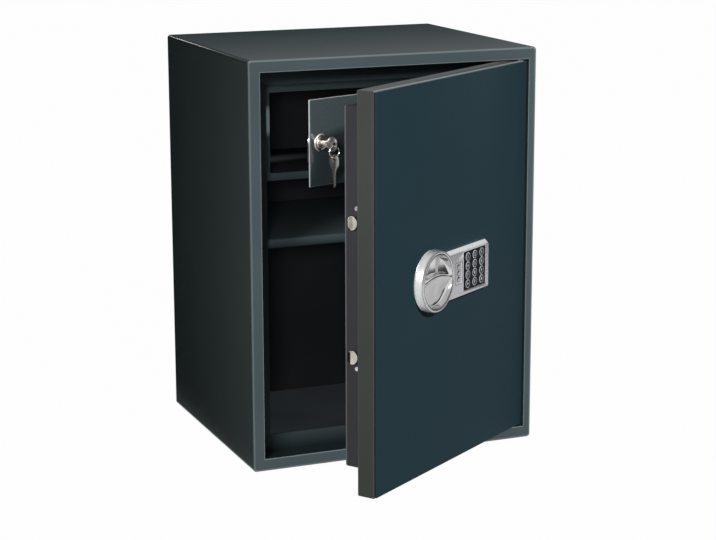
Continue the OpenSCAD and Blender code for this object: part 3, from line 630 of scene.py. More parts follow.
def back_panel():
    """Back sheet set between the sides, with its two wall anchor holes"""
    # Edge marks on the rim paint a highlight round the panel's edge
    rings = stack(INSIDE_X, INSIDE_Z, [
        (0.0, 4.0, DEEP - SHEET, 0.0), (0.0, 4.0, DEEP - 0.6, 0.0), (0.2, 3.8, DEEP - 0.2, 1.0),
        (0.6, 3.4, DEEP, 1.0), (1.8, 2.2, DEEP, 0.0)])
    panel = lofted("back_sheet", rings, [CABINET_PAINT, INSIDE_PAINT], CABINET, slots=[1, 1, 0, 0])
    through = (DEEP - SHEET - 1, DEEP + 1)
    anchors = [((x, WALL_ANCHOR_Z), through, ANCHOR_R, "y") for x in (-ANCHOR_X, ANCHOR_X)]
    show(cut(panel, holes(CABINET, anchors)), "cabinet", "back_panel", slot="cabinet_paint")


def door_rebate():
    """Jamb round the closed door and the stop flange behind it"""
    back = REBATE + STOP_T
    # Edge marks paint highlights on the jamb's back fold and round the stop flange's rim
    rings = stack(wider(LIP_X, SHEET), wider(LIP_Z, SHEET), [(0.0, 2.5, SHEET, 0.0)] + [
        (i, 2.6 - i, back - o, 0.5) for i, o in bend(2.0, 3)])
    rim = ((0.8, back), (0.2, back - 0.3), (0.0, back - 0.8),
           (0.0, REBATE + 0.8), (0.2, REBATE + 0.3), (0.8, REBATE))
    rings += stack(STOP_X, STOP_Z, [(-out, 0.8 + out, d, 1.0) for out, d in rim])
    rings += stack(LIP_X, LIP_Z, [(i, 2.0 - i, REBATE - o, 0.0) for i, o in reversed(bend(1.5, 3))] + [
        (0.0, 0.8, SHEET, 0.0)])
    jamb = lofted("door_jamb", rings, [REBATE_SHADED_PAINT], CABINET, ends="joined")
    pins = [(HINGE, (z - 4, z + 4), 4.4, "z") for z in LIP_Z]
    show(cut(jamb, holes(CABINET, pins)), "cabinet", "door_rebate", slot="rebate_paint")


def compartment():
    """Front frame of the inner compartment, its floor and the return beside its lock"""
    front, back = COMP_DEPTH, COMP_DEPTH + SHEET
    # Edge marks paint highlights along the frame's front rim and round its opening
    rings = stack(INSIDE_X, (COMP_FLOOR, INSIDE_Z[1]), [(0.0, 1.5, back, 0.0), (0.0, 1.5, front + 0.4, 0.0),
                                                        (0.4, 1.2, front, 0.6)])
    rim = ((0.9, front), (0.25, front + 0.25), (0.0, front + 0.9), (0.0, back - 0.5), (0.5, back))
    rings += stack(COMP_X, COMP_Z, [(-out, 0.8 + out, d, 1.0) for out, d in rim])
    shape = Shape()
    shape.loft(rings, ends="joined")
    shape.box((COMP_X[0] - SHEET, COMP_X[0]), (back, BARREL_BACK), COMP_Z, 0.4)
    show(shape.mesh("compartment_front", [REBATE_SHADED_PAINT], CABINET), "cabinet", "compartment_frame",
         slot="rebate_paint")
    base = Shape()
    base.box(INSIDE_X, (back, DEEP - SHEET), (COMP_FLOOR, COMP_FLOOR + SHEET), 0.4)
    show(base.mesh("compartment_base", [INSIDE_PAINT], CABINET), "cabinet", "compartment_floor",
         slot="rebate_paint")


def shelf():
    """Loose shelf: one sheet turned down at its front and back"""
    fold, (d0, d1), (foot, top) = 2.5, SHELF_D, SHELF_Z

    def side(inset):
        """Section of one face of the sheet, from the front's foot over the top to the back's"""
        points = [(d0 + inset, foot)]
        for middle, angles in ((d0 + fold, arc(180, 90, 4)), (d1 - fold, arc(90, 0, 4))):
            points += [(middle + (fold - inset) * math.cos(a), top - fold + (fold - inset) * math.sin(a))
                       for a in angles]
        return points + [(d1 - inset, foot)]

    outer, inner = side(0.0), side(SHELF_T)
    # Edge marks paint a highlight along the shelf's folds and top
    marks = [0.0] + [1.0] * (len(outer) - 2) + [0.0]
    shape = Shape()
    ends = [shape.ring([(x, *p) for p in outer + inner[::-1]], marks + marks) for x in SHELF_X]
    shape.band(*ends)
    for ring in ends:
        for i in range(len(outer) - 1):
            shape.face((ring[i], ring[i + 1], ring[-2 - i], ring[-1 - i]))
    show(shape.mesh("shelf_sheet", [REBATE_SHADED_PAINT], CABINET), "cabinet", "shelf", slot="rebate_paint")


# Door

def slab_outline(depth, inset, right_inset):
    """Outline of the slab at one depth; its front edge at the hinge side is round"""
    lift = max(HINGE_ROUND - depth, 0.0)
    turn = HINGE_ROUND - math.sqrt(HINGE_ROUND ** 2 - lift ** 2)
    right = turn + right_inset - HINGE_REACH
    return outline((DOOR_X[0] + inset, DOOR_X[1] - right), wider(DOOR_Z, -inset), 1.2, depth)


def door_slab():
    """Door slab: a front sheet laid on a folded tray, a dark shadow gap between them, and a flat back"""
    sheet, gap = 1.3, 3.3
    # Depth, inset, inset at the hinge side, edge marks (painted highlight) of the level and of the upright
    # runs
    rows = [(0.0, 1.9, 0.6, 0.0, 0.0), (0.1, 1.5, 0.3, 0.6, 0.0), (0.35, 1.25, 0.1, 1.0, 0.1),
            (0.8, 1.2, 0.1, 1.0, 0.1), (sheet, 1.2, 0.1, 0.4, 0.0), (sheet + 0.02, 3.4, 1.6, 0.0, 0.0),
            (gap - 0.02, 3.4, 1.6, 0.0, 0.0), (gap, 2.5, 0.3, 0.0, 0.0)]
    rows += [(gap + d, inset, 0.0, 1.0, 0.0)
             for d, inset in ((0.04, 1.0), (0.2, 0.45), (0.5, 0.12), (1.0, 0.0))]
    rows += [(d, 0.0, 0.0, 0.45, 0.0) for d in (6.5, SLAB - 3.0)]
    rows += [(SLAB - d, i, i, 0.7, 0.2) for i, d in bend(2.0)] + [(SLAB, 3.5, 3.5, 0.0, 0.0)]
    rings = [level(slab_outline(*row[:3]), *row[3:]) for row in rows]
    slab = lofted("door_slab", rings, [DOOR_FACE_PAINT, DOOR_EDGE_PAINT], DOOR,
                  slots=[0] * 5 + [1] * (len(rows) - 6))
    rods = [((x, LOCK_Z), (-1, SLAB + 1), radius, "y")
            for x, radius in ((KNOB_X, BUSH_R), (FIELD_MID, LEAD_HOLE))]
    rods += [((HOUSING_SCREW_X, z), (-1, 4.5), SCREW_HOLE, "y") for z in HOUSING_SCREW_Z]
    rods += [(HINGE, (z - 3, z + 3), HINGE_HOLE, "z") for z in DOOR_Z]
    hollow = ((DOOR_X[0] + 4.0, DOOR_X[1] - 6.0), (3.6, SLAB - 2.0), wider(DOOR_Z, -4.0), 1.0)
    show(cut(slab, holes(DOOR, rods, [hollow])), "door", "door_front", "door_backplate", slot="door_paint")


def door_pan():
    """Pan behind the slab that holds the bolt work"""
    rows = [(0.0, 2.5, d, 0.0) for d in (SLAB, SLAB + 1, PAN_BACK - 3.5)]
    # Edge marks paint a highlight along the pan's back fold
    rows += [(i, 3.2 - i, PAN_BACK - d, 1.0) for i, d in bend(2.5)] + [(4.0, 0.6, PAN_BACK, 0.0)]
    pan = lofted("bolt_pan", stack(PAN_X, PAN_Z, rows), [PAN_PAINT], DOOR)
    side = (PAN_X[0] - 1, PAN_X[0] + 3)
    rods = [((BOLT_DEPTH, z), side, BOLT_R + 0.4, "x") for z in BOLT_Z]
    rods += [((PAN_SCREW_DEPTH, z), side, 2.05, "x") for z in PAN_SCREW_Z]
    hollow = (wider(PAN_X, -PAN_SHEET), (SLAB - 1, PAN_BACK - PAN_SHEET), wider(PAN_Z, -PAN_SHEET), 1.5)
    mouth = (BATTERY_X, (PAN_BACK - 3, PAN_BACK + 1), BATTERY_Z, 1.5)
    show(cut(pan, holes(DOOR, rods, [hollow, mouth])), "door", "door_pan", slot="pan_paint")


def battery_cover():
    """Cover over the battery box, with three finger grooves"""
    z = [corner.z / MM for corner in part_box("battery_cover")]
    rows = [(0.0, 3.0, PAN_BACK, 0.0), (0.0, 3.0, PAN_BACK + 1.0, 0.4)]
    rows += [(i, 3.2 - i, PAN_BACK + 2.0 - d, 1.0) for i, d in bend(0.9, 3)]
    cover = lofted("battery_lid", stack(COVER_X, z, rows), [BLACK_PLASTIC], DOOR)
    tops = [z[1] - 6.6 - 3.0 * i for i in range(3)]
    grooves = [((50.0, 76.0), (PAN_BACK + 1.2, PAN_BACK + 3), (top - 1.4, top), 0.6) for top in tops]
    show(cut(cover, holes(DOOR, (), grooves)), "door", "battery_cover", slot="pan_paint")


def bolts():
    """Round bolts with a turned tip rounded across, and a bore in the far end for their screw"""
    tip, end = BOLT_X
    profile = [(r, tip) for r in (0.4, 1.6, 3.2, 4.8, 6.4, 7.6, 8.6)]
    profile += [(9.2, tip + 0.2), (9.7, tip + 0.6), (BOLT_R, tip + 1.2), (BOLT_R, end - 1.0), (9.4, end),
                (BOLT_SCREW_R, end), (BOLT_SCREW_R, end - 15.0)]
    for name, z in (("bolt_lower", BOLT_Z[0]), ("bolt_upper", BOLT_Z[1])):
        shape = Shape()
        shape.turned(profile, (BOLT_DEPTH, z), "x", steps=72)
        for v in shape.bm.verts:
            if v.co.x < tip + 1.5:
                v.co.x += 0.036 * (v.co.y - BOLT_DEPTH) ** 2
        show(shape.mesh(name + "_turned", [BOLT_NICKEL], DOOR), "bolt_work", name, slot="bright_plate")


# Lock housing, knob and keys

def housing_outline(inset, top, depth):
    """Outline of the housing at one depth: round end cut out for the knob, sloping top, two right corners"""
    x1, z = HOUSING_X[1] - inset, (HOUSING_Z[0] + inset, HOUSING_Z[1] - top)
    radius = KNOB_R + 0.6 + inset
    high, low = (math.degrees(math.asin(abs(at - LOCK_Z) / radius)) for at in (z[1], z[0]))
    points = [(KNOB_X + radius * math.cos(a), depth, LOCK_Z + radius * math.sin(a))
              for a in arc(high, -low, 32)]
    corner = max(3.5 - inset, 0.5)
    for cz, start in ((z[0] + corner, 270), (z[1] - corner, 0)):
        points += [(x1 - corner + corner * math.cos(a), depth, cz + corner * math.sin(a))
                   for a in arc(start, start + 90, 5)]
    return points


def lock_housing():
    """Cast housing of the keypad, and the base plate under the knob"""
    rows = [(0.0, 0.0, 0.0), (0.0, 0.0, -1.0), (0.0, 0.0, -6.6), (0.0, 0.3, -6.95), (0.0, 0.7, -7.4),
            (0.05, 2.8, -9.6), (0.25, 3.6, -10.5), (0.6, 4.3, -11.3), (0.85, 4.6, -11.75),
            (1.2, 4.9, -HOUSING_T), (1.7, 5.3, -HOUSING_T)]
    housing = lofted("keypad_housing", [(housing_outline(*row), 0.0) for row in rows], [HOUSING_METAL], DOOR)
    mouth = ((1.6, -HOUSING_T - 0.1), (1.3, -HOUSING_T), (0.0, -HOUSING_T + 0.24), (0.0, POCKET_FLOOR))
    pocket = stack(FIELD_X, FIELD_Z, [(-out, 1.0 + out, d, 0.0) for out, d in mouth])
    housing = cut(housing, lofted("field_pocket", pocket, [], DOOR))
    recess = (WINDOW_X, (-HOUSING_T - 1, -HOUSING_T + 1.0), WINDOW_Z, 1.0)
    rods = [((FIELD_MID, LOCK_Z), (-5, 1), LEAD_HOLE, "y")]
    rods += [((HOUSING_SCREW_X, z), (-6, 1), SCREW_HOLE, "y") for z in HOUSING_SCREW_Z]
    housing = cut(housing, holes(DOOR, rods, [recess]))
    base = Shape()
    base.turned([(BUSH_R, 0.0), (43.5, 0.0), (43.5, -1.4), (43.0, -2.0), (BUSH_R, -2.0)], (KNOB_X, LOCK_Z),
                steps=128, ends="joined")
    joined = bmesh.new()
    for part in (housing, base.mesh("base_disc", [], DOOR)):
        joined.from_mesh(part)
        bpy.data.meshes.remove(part)
    made = bpy.data.meshes.new("keypad_housing")
    joined.to_mesh(made)
    joined.free()
    made.materials.append(HOUSING_METAL)
    soften(made)
    show(made, "door", "lock_housing", slot="satin_chrome")


def indicator_window():
    """Plain plaque with a raised border and three small lamps behind dark lenses"""
    front = -HOUSING_T
    rings = stack(WINDOW_X, WINDOW_Z, [(0.5, 0.9, front + 1.0, 0.0), (0.5, 0.9, front + 0.25, 1.0),
                                       (0.75, 0.8, front, 1.0), (1.6, 0.7, front, 1.0),
                                       (2.0, 0.6, front + 0.45, 0.0)])
    shape = Shape()
    # The plaque's side and rounded rim take the dark lens finish: painted shade in the gap round the plaque
    shape.loft(rings, slots=[1, 1, 0, 0])
    lens = [(4.1, front + 0.5), (4.1, front + 0.2), (3.7, front + 0.1), (2.9, front + 0.1),
            (2.7, front + 0.02), (1.4, front + 0.01), (0.3, front)]
    for z in (LOCK_Z - 9.0, LOCK_Z, LOCK_Z + 9.0):
        shape.turned(lens, (sum(WINDOW_X) / 2, z), steps=28, slots=[1, 1, 1, 0, 0, 0])
    show(shape.mesh("indicator_plaque", [HOUSING_METAL, LENS], DOOR), "door", "indicator_window",
         slot="window_gloss")


def bowl_depth(u, v):
    """Depth of the knob's bowl: a hollow pocket above the arched ridge, a deepening face below it"""
    r = math.hypot(u, v)
    if r >= BOWL_R:
        return 0.0
    above = v - (6.3 - 0.0051 * (u + 3.0) ** 2)
    if above >= 2.2:
        t = min((above - 2.2) / 4.0, 1.0)
        swell = 3.0 * math.exp(-((u - 2.0) / 8.0) ** 2)
        floor = 10.2 - u * u / 240.0 - (v - 20.0) ** 2 / 260.0 - swell
        depth = 0.4 + (floor - 0.4) * t * t * (3 - 2 * t)
    elif above >= 0:
        depth = 0.25 + 0.07 * above
    else:
        s = min(-above / 27.0, 1.0)
        depth = 0.25 + 8.3 * (1 - (1 - s) ** 2) * (1 - 0.06 * math.cos(u / 12.0))
    wall = max((r - BOWL_WALL) / (BOWL_R - BOWL_WALL), 0.0)
    return depth * (1 - wall ** 2.6)


def knob():
    """Turned knob: finely turned side, beaded rim, and a bowl with an arched grip ridge"""
    steps, turns = 224, 12
    back = [(9.0, KNOB_BACK), (43.2, KNOB_BACK), (43.75, KNOB_BACK - 0.4)]
    side = []
    for i in range(turns):
        side += [(KNOB_R, -3.15 - 0.8 * i), (KNOB_R - 0.31, -3.9 - 0.8 * i)]
    rim = [(KNOB_R, -12.9), (43.9, -13.7), (43.6, -14.1), (43.2, -13.5), (42.9, -14.5), (42.5, -14.9),
           (42.0, KNOB_FRONT), (39.6, KNOB_FRONT), (39.3, -14.8), (39.0, -13.9), (38.5, -13.6), (38.1, -13.9),
           (37.9, -14.7), (37.7, -14.95), (37.3, KNOB_FRONT), (37.0, -14.9)]
    # Slot 2, the groove metal, paints shade into the rim's grooves
    slots = [0] + [1] * 28 + [2] * 2 + [0] * 4 + [2] * 4 + [0] * 3
    shape = Shape()
    made = shape.turned(back + side + rim, (KNOB_X, LOCK_Z), steps=steps, ends="open", slots=slots)
    last = made[-1]
    floor = KNOB_FRONT + 0.1
    for r in [BOWL_R - 0.3 * i for i in range(1, 15)] + [32.5 - 0.6 * i for i in range(54)]:
        ring = shape.ring([(KNOB_X + u, floor + bowl_depth(u, v), LOCK_Z + v) for u, v in circle(r, steps)])
        shape.band(last, ring)
        last = ring
    centre = shape.bm.verts.new((KNOB_X, floor + bowl_depth(0, 0), LOCK_Z))
    for i in range(steps):
        shape.face((last[i], last[(i + 1) % steps], centre))
    bore = shape.turned([(SPINDLE_R, KNOB_BACK), (SPINDLE_R, -10.0)], (KNOB_X, LOCK_Z), steps=steps,
                        ends="open")
    shape.band(made[0], bore[0])
    shape.face(bore[1])
    turned = shape.mesh("turning_knob", [KNOB_METAL, WALL_METAL, GROOVE_SHADE_METAL], DOOR, smooth=50.0)
    show(turned, "turning_knob", "knob", slot="satin_chrome")


def key_places():
    """(name, x, z) of each key, row by row"""
    names = ["1", "2", "3", "4", "5", "6", "7", "8", "9", "star", "0", "hash"]
    return [(name, FIELD_MID + (i % 3 - 1) * KEY_PITCH[0], LOCK_Z + (1.5 - i // 3) * KEY_PITCH[1])
            for i, name in enumerate(names)]


def keypad_plate():
    """Dark key field with twelve holes"""
    rings = stack(FIELD_X, FIELD_Z, [(0.1, 0.9, POCKET_FLOOR, 0.0), (0.1, 0.9, FIELD_FRONT + 0.5, 0.0),
                                     (0.25, 0.8, FIELD_FRONT + 0.15, 0.0), (0.6, 0.6, FIELD_FRONT, 0.0)])
    plate = lofted("key_field_plate", rings, [KEY_DARK], DOOR)
    rods = [((x, z), (FIELD_FRONT - 1, FIELD_FRONT + 8.0), KEY_R + 0.3, "y") for _, x, z in key_places()]
    show(cut(plate, holes(DOOR, rods)), "door", "keypad_plate", slot="key_field")


def letter(text, size):
    """Flat outline of a character as a mesh, centred, in millimetres"""
    curve = bpy.data.curves.new("print", "FONT")
    curve.body = text
    curve.size = size
    curve.resolution_u = 3
    mesh = worked(placed("print", curve))
    bpy.data.curves.remove(curve)
    middle = [(min(side) + max(side)) / 2 for side in zip(*(v.co for v in mesh.vertices))]
    mesh.transform(Matrix.Translation((-middle[0], -middle[1], 0)))
    return mesh


def keys():
    """Twelve round keys: dished cap, printed ring and raised figure"""
    signs, top, relief = {"star": "*", "hash": "#"}, KEY_FRONT, 0.22
    cap = [(KEY_R, -5.2), (KEY_R, top + 0.35), (KEY_R - 0.1, top + 0.1), (KEY_R - 0.25, top + 0.01),
           (KEY_R - 0.78, top + 0.01), (KEY_R - 1.05, top + 0.14), (2.5, top + 0.22), (0.4, top + 0.24)]
    for name, x, z in key_places():
        shape = Shape()
        shape.turned(cap, (x, z), steps=48, slots=[0, 1, 1, 1, 0, 0, 0])
        sign = letter(signs.get(name, name), 9.0 if name == "star" else 7.0)
        figure = bmesh.new()
        figure.from_mesh(sign)
        for part in bmesh.ops.extrude_face_region(figure, geom=figure.faces[:])["geom"]:
            if isinstance(part, bmesh.types.BMVert):
                part.co.z += relief
        lift = {v: shape.bm.verts.new((x + v.co.x, top + 0.26 - v.co.z, z + v.co.y)) for v in figure.verts}
        for face in figure.faces:
            shape.face([lift[v] for v in face.verts], 1)
        figure.free()
        bpy.data.meshes.remove(sign)
        show(shape.mesh("key_cap_" + name, [KEY_DARK, KEY_PRINT], DOOR), "key_%s_cap" % name, "key_" + name,
             slot="key_field")


# Inner door, its lock and its keys

def inner_door():
    """Plain glossy leaf with a painted highlight on its cut edges and front rim, notched beside its hinge"""
    front, back = INNER_D
    rings = stack(INNER_X, INNER_Z, [
        (0.5, 1.0, back, 0.0), (0.0, 1.2, back - 0.5, 1.0), (0.0, 1.2, front + 0.9, 1.0),
        (0.25, 1.1, front + 0.3, 0.5), (0.8, 1.0, front + 0.05, 0.2), (1.1, 1.0, front, 0.0)])
    leaf = lofted("inner_leaf", rings, [INNER_PAINT, LEAF_EDGE_HIGHLIGHT], INNER, slots=[0, 1, 0, 0, 0])
    through = (front - 1, back + 1)
    lock = [(CYLINDER, through, 9.05, "y")]
    ends = ((INNER_Z[0] - 1, COMP_Z[0] + 0.3), (COMP_Z[1] - 0.3, INNER_Z[1] + 1))
    notches = [(INNER_NOTCH_X, through, z, 0.3) for z in ends]
    show(cut(leaf, holes(INNER, lock, notches)), "inner_door_leaf", "inner_door", slot="inner_gloss")


def lock_barrel():
    """Cylinder lock: stepped rosette, threaded barrel and its bore"""
    rosette = [(6.05, 0.35), (6.4, 0.05), (7.6, 0.0), (8.3, 0.1), (8.7, 0.6), (9.3, 0.65), (9.8, 0.25),
               (10.8, 0.15), (11.9, 0.45), (12.6, 1.0), (13.0, 1.7), (13.0, 2.0), (8.95, 2.0)]
    for i in range(18):
        rosette += [(8.5, 2.6 + i), (8.95, 3.1 + i)]
    profile = [(r, ROSETTE_FRONT + d) for r, d in rosette]
    profile += [(8.4, BARREL_BACK - 0.3), (8.2, BARREL_BACK), (6.05, BARREL_BACK)]
    shape = Shape()
    shape.turned(profile, CYLINDER, steps=72, ends="joined")
    show(shape.mesh("lock_cylinder", [KEY_NICKEL], INNER), "inner_door_leaf", "lock_barrel",
         slot="bright_plate")


def lock_plug():
    """Turning plug with its upright keyway"""
    front, (x, z) = ROSETTE_FRONT, CYLINDER
    shape = Shape()
    shape.turned([(5.3, front), (5.8, front + 0.15), (6.0, front + 0.5), (6.0, BARREL_BACK + 1.0)], CYLINDER)
    way = ((x - 1.2, x + 1.2), (front - 1, front + 16.0), (z - 2.7, z + 2.7), 0.4)
    plug = cut(shape.mesh("lock_plug_turned", [KEY_NICKEL], INNER), holes(INNER, (), [way]))
    show(plug, "inner_lock", "lock_plug", slot="bright_plate")


def key_blank(name, bow, turn, body, node):
    """Flat key: round bow with a ring hole, shoulders, and a blade with cuts; bow is its centre"""
    bow_r, hole_r, reach, half, ease = 10.5, 3.0, 37.0, 1.0, 0.25
    edge = [(reach - 1.6, -1.6), (reach, 0.0), (reach - 1.6, 2.5)]
    edge += [(34.0, 2.5), (32.6, 1.3), (31.6, 1.3), (30.2, 2.3), (28.8, 0.9), (27.6, 0.9), (26.0, 2.4),
             (24.6, 1.5), (23.4, 1.5), (21.8, 2.5)]
    neck = [(19.0, 2.5), (15.5, 3.0), (12.6, 3.9), (10.4, 5.2)]
    edge += neck + [(bow_r * math.cos(a), bow_r * math.sin(a)) for a in arc(40, 320, 40)]
    edge += [(u, -v) for u, v in reversed(neck)] + [(reach - 3.5, -2.5)]
    hole = [(BOW_HOLE + hole_r * math.cos(a), hole_r * math.sin(a)) for a in arc(0, 345, 23)]
    curve = bpy.data.curves.new(name, "CURVE")
    curve.dimensions = "2D"
    curve.fill_mode = "BOTH"
    for points in (edge, hole):
        spline = curve.splines.new("POLY")
        spline.points.add(len(points) - 1)
        for target, (u, v) in zip(spline.points, points):
            target.co = (u, v, 0, 1)
        spline.use_cyclic_u = True
    curve.extrude = half - ease
    curve.bevel_depth = ease
    curve.offset = -ease
    curve.bevel_resolution = 1
    mesh = worked(placed(name, curve))
    bpy.data.curves.remove(curve)
    mesh.name = name
    bm = bmesh.new()
    bm.from_mesh(mesh)
    bmesh.ops.remove_doubles(bm, verts=bm.verts, dist=1e-4)
    bmesh.ops.recalc_face_normals(bm, faces=bm.faces)
    bm.to_mesh(mesh)
    bm.free()
    mesh.materials.clear()
    mesh.materials.append(KEY_NICKEL)
    mesh.transform(INNER @ Matrix.Translation(bow) @ turn)
    soften(mesh, 40)
    show(mesh, body, node, slot="bright_plate")


def key_ring():
    """Split ring: wire wound twice round"""
    wire, turns, lift, count = 0.52, 2.0, 0.495, 96
    rings = []
    for i in range(count + 1):
        t = i / count
        a = 2 * math.pi * turns * t + 0.6
        shift = lift * max(-1.0, min(1.0, 4.4 * (t - 0.5)))
        section = [(RING_TOP[0] + (RING_R + out) * math.cos(a), RING_TOP[1] + shift + across,
                    RING_TOP[2] - RING_R + (RING_R + out) * math.sin(a)) for out, across in circle(wire, 10)]
        rings.append((section, 0.0))
    shape = Shape()
    shape.loft(rings)
    show(shape.mesh("split_ring", [BRIGHT], INNER, smooth=60), "ring", "key_ring", slot="bright_plate")


# Screws by Geometry Nodes

def fastener_tree():
    """Geometry Nodes tree: a chamfered head with a six-sided socket and a shank on every point of a mesh"""
    tree, given = node_group("socket_screws", "GeometryNodeTree", {
        "Places": "Geometry", "Head Radius": 4.0 * MM, "Head Height": 1.6 * MM, "Socket Radius": 1.6 * MM,
        "Shank Radius": 2.0 * MM, "Shank Length": 10.0 * MM, "Direction": "Vector", "Finish": "Material"},
        {"Screws": "Geometry"})
    head_r, head_h, shank_h = given["Head Radius"], given["Head Height"], given["Shank Length"]

    def share(value, part):
        return maths(tree, "MULTIPLY", value, part)

    def raised(part, height):
        up = add(tree, "ShaderNodeCombineXYZ", Z=height).outputs[0]
        return add(tree, "GeometryNodeTransform", Geometry=part.outputs["Mesh"], Translation=up).outputs[0]

    def rod(sides, radius, length, middle):
        made = add(tree, "GeometryNodeMeshCylinder", Vertices=sides, Radius=radius, Depth=length)
        return raised(made, middle)

    collar = rod(40, head_r, share(head_h, 0.65), share(head_h, 0.325))
    cone = add(tree, "GeometryNodeMeshCone", Vertices=40, Radius_Bottom=head_r, Radius_Top=share(head_r, 0.8),
               Depth=share(head_h, 0.35))
    solid = add(tree, "GeometryNodeMeshBoolean", "UNION", Mesh_2=collar)
    shank = rod(24, given["Shank Radius"], shank_h, share(shank_h, -0.5))
    for part in (raised(cone, share(head_h, 0.65)), shank):
        tree.links.new(part, solid.inputs["Mesh 2"])
    socket = rod(6, given["Socket Radius"], head_h, head_h)
    drilled = add(tree, "GeometryNodeMeshBoolean", "DIFFERENCE", Mesh_1=solid.outputs["Mesh"], Mesh_2=socket)
    aim = add(tree, "FunctionNodeAlignRotationToVector", Vector=given["Direction"])
    aim.axis = "Z"
    spread = add(tree, "GeometryNodeInstanceOnPoints", Points=given["Places"],
                 Instance=drilled.outputs["Mesh"], Rotation=aim.outputs["Rotation"])
    real = add(tree, "GeometryNodeRealizeInstances", Geometry=spread.outputs["Instances"])
    dressed = add(tree, "GeometryNodeSetMaterial", Geometry=real.outputs["Geometry"],
                  Material=given["Finish"])
    add(tree, "NodeGroupOutput", Screws=dressed.outputs["Geometry"])
    return tree


def fasteners(name, tree, places, direction, body, node, head, socket, shank):
    """Screws of one node on the door, at places in closed millimetres; direction is where the heads point"""
    points = bpy.data.meshes.new(name)
    points.from_pydata([DOOR @ Vector(p) for p in places], [], [])
    carrier = placed(name, points)
    step = carrier.modifiers.new("screws", "NODES")
    step.node_group = tree
    values = {"Head Radius": head[0] * MM, "Head Height": head[1] * MM, "Socket Radius": socket * MM,
              "Shank Radius": shank[0] * MM, "Shank Length": shank[1] * MM,
              "Direction": (DOOR.to_3x3() @ Vector(direction)).normalized(), "Finish": BRIGHT}
    for item in tree.interface.items_tree:
        if item.name in values:
            step[item.identifier] = values[item.name]
    made = worked(carrier)
    made.name = name
    soften(made)
    show(made, body, node, slot="bright_plate")


def all_fasteners():
    tree = fastener_tree()
    pan = [(PAN_X[0], PAN_SCREW_DEPTH, z) for z in PAN_SCREW_Z]
    bolt = [(BOLT_X[1] + 5.0, BOLT_DEPTH, z) for z in BOLT_Z]
    housing = [(HOUSING_SCREW_X, 3.0, z) for z in HOUSING_SCREW_Z]
    fasteners("pan_side_screws", tree, pan, (-1, 0, 0), "door", "pan_screws", (3.1, 1.5), 1.4, (2.0, 11.0))
    fasteners("bolt_end_screws", tree, bolt, (1, 0, 0), "bolt_work", "bolt_screws", (5.0, 4.0), 2.4,
              (3.0, 19.0))
    fasteners("housing_back_screws", tree, housing, (0, 1, 0), "door", "housing_screws", (4.0, 2.0), 1.7,
              (2.0, 8.0))


# Everything that keeps its CAD shape

def eased_nodes():
    """CAD nodes that only get eased edges: finish, width of the easing, body"""
    for node, surface, width, body in (
            ("hinge_plates", STEEL, 0.6, "cabinet"), ("inner_hinge_brackets", STEEL, 0.4, "cabinet"),
            ("hinge_blocks", STEEL, 0.6, "door"), ("bolt_guides", STEEL, 0.8, "door"),
            ("lock_magnet", STEEL, 0.8, "door"), ("battery_holder", BLACK_PLASTIC, 0.6, "door"),
            ("circuit_board", BOARD, 0.2, "door"), ("bolt_bar", STEEL, 0.5, "bolt_work"),
            ("drive_arm", STEEL, 0.5, "turning_knob"), ("inner_hinge_pins", STEEL, 0.4, "inner_door_leaf"),
            ("barrel_nut", STEEL, 0.5, "inner_door_leaf"), ("lock_cam", STEEL, 0.4, "inner_lock"),
            ("shelf_rests", BRIGHT, 0.8, "cabinet"), ("hinge_pins", STEEL, 0.8, "door"),
            ("spindle_bush", BRASS, 0.3, "door"), ("spindle", STEEL, 0.5, "turning_knob"),
            ("magnet_plunger", BRIGHT, 0.6, "plunger"), ("battery_cells", WRAP, 0.8, "door"),
            ("keypad_lead", BLACK_PLASTIC, 0.3, "door")):
        eased(node, surface, width, body)


def dressed_nodes():
    """The CAD nodes that pieces stand for, in the same finishes"""
    finishes = {
        "cabinet_paint": CABINET_PAINT, "rebate_paint": REBATE_SHADED_PAINT, "door_paint": DOOR_FACE_PAINT,
        "pan_paint": PAN_PAINT, "inner_gloss": INNER_PAINT, "bare_steel": STEEL, "bright_plate": BRIGHT,
        "satin_chrome": KNOB_METAL, "bush_brass": BRASS, "black_plastic": BLACK_PLASTIC,
        "key_field": KEY_DARK, "window_gloss": LENS, "board_green": BOARD, "cell_wrap": WRAP,
    }
    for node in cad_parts.values():
        for place in node.material_slots:
            place.material = finishes[place.material.name]


# Stage, in metres

def bare_tree(owner, output):
    """Emptied node tree of a world or a material, with its output node"""
    owner.use_nodes = True
    owner.node_tree.nodes.clear()
    return owner.node_tree, owner.node_tree.nodes.new(output)


def flat(x, y, z):
    """Corners of a level card"""
    return [(x[0], y[0], z), (x[1], y[0], z), (x[1], y[1], z), (x[0], y[1], z)]


def upright(start, end, z):
    """Corners of a card that stands on the line from start to end"""
    return [(*start, z[0]), (*end, z[0]), (*end, z[1]), (*start, z[1])]


def card(name, corners, material):
    """Stage card from four corners"""
    mesh = bpy.data.meshes.new(name)
    mesh.from_pydata(corners, [], [(0, 1, 2, 3)])
    mesh.materials.append(material)
    made = placed(name, mesh)
    return made


def pale_floor():
    """Floor painted grey for light, and glowing white where the camera and gloss see it"""
    made = bpy.data.materials.new("floor_white")
    tree, out = bare_tree(made, "ShaderNodeOutputMaterial")
    grey = add(tree, "ShaderNodeBsdfDiffuse", Color=(0.2, 0.2, 0.2, 1)).outputs[0]
    white = add(tree, "ShaderNodeEmission", Color=WHITE, Strength=1.0).outputs[0]
    glowing = maths(tree, "MULTIPLY", seen(tree), 0.985)
    blend = add(tree, "ShaderNodeMixShader", Fac=glowing, i1=grey, i2=white)
    tree.links.new(blend.outputs[0], out.inputs["Surface"])
    card("floor", flat((-9, 9), (-9, 9), 0), made)


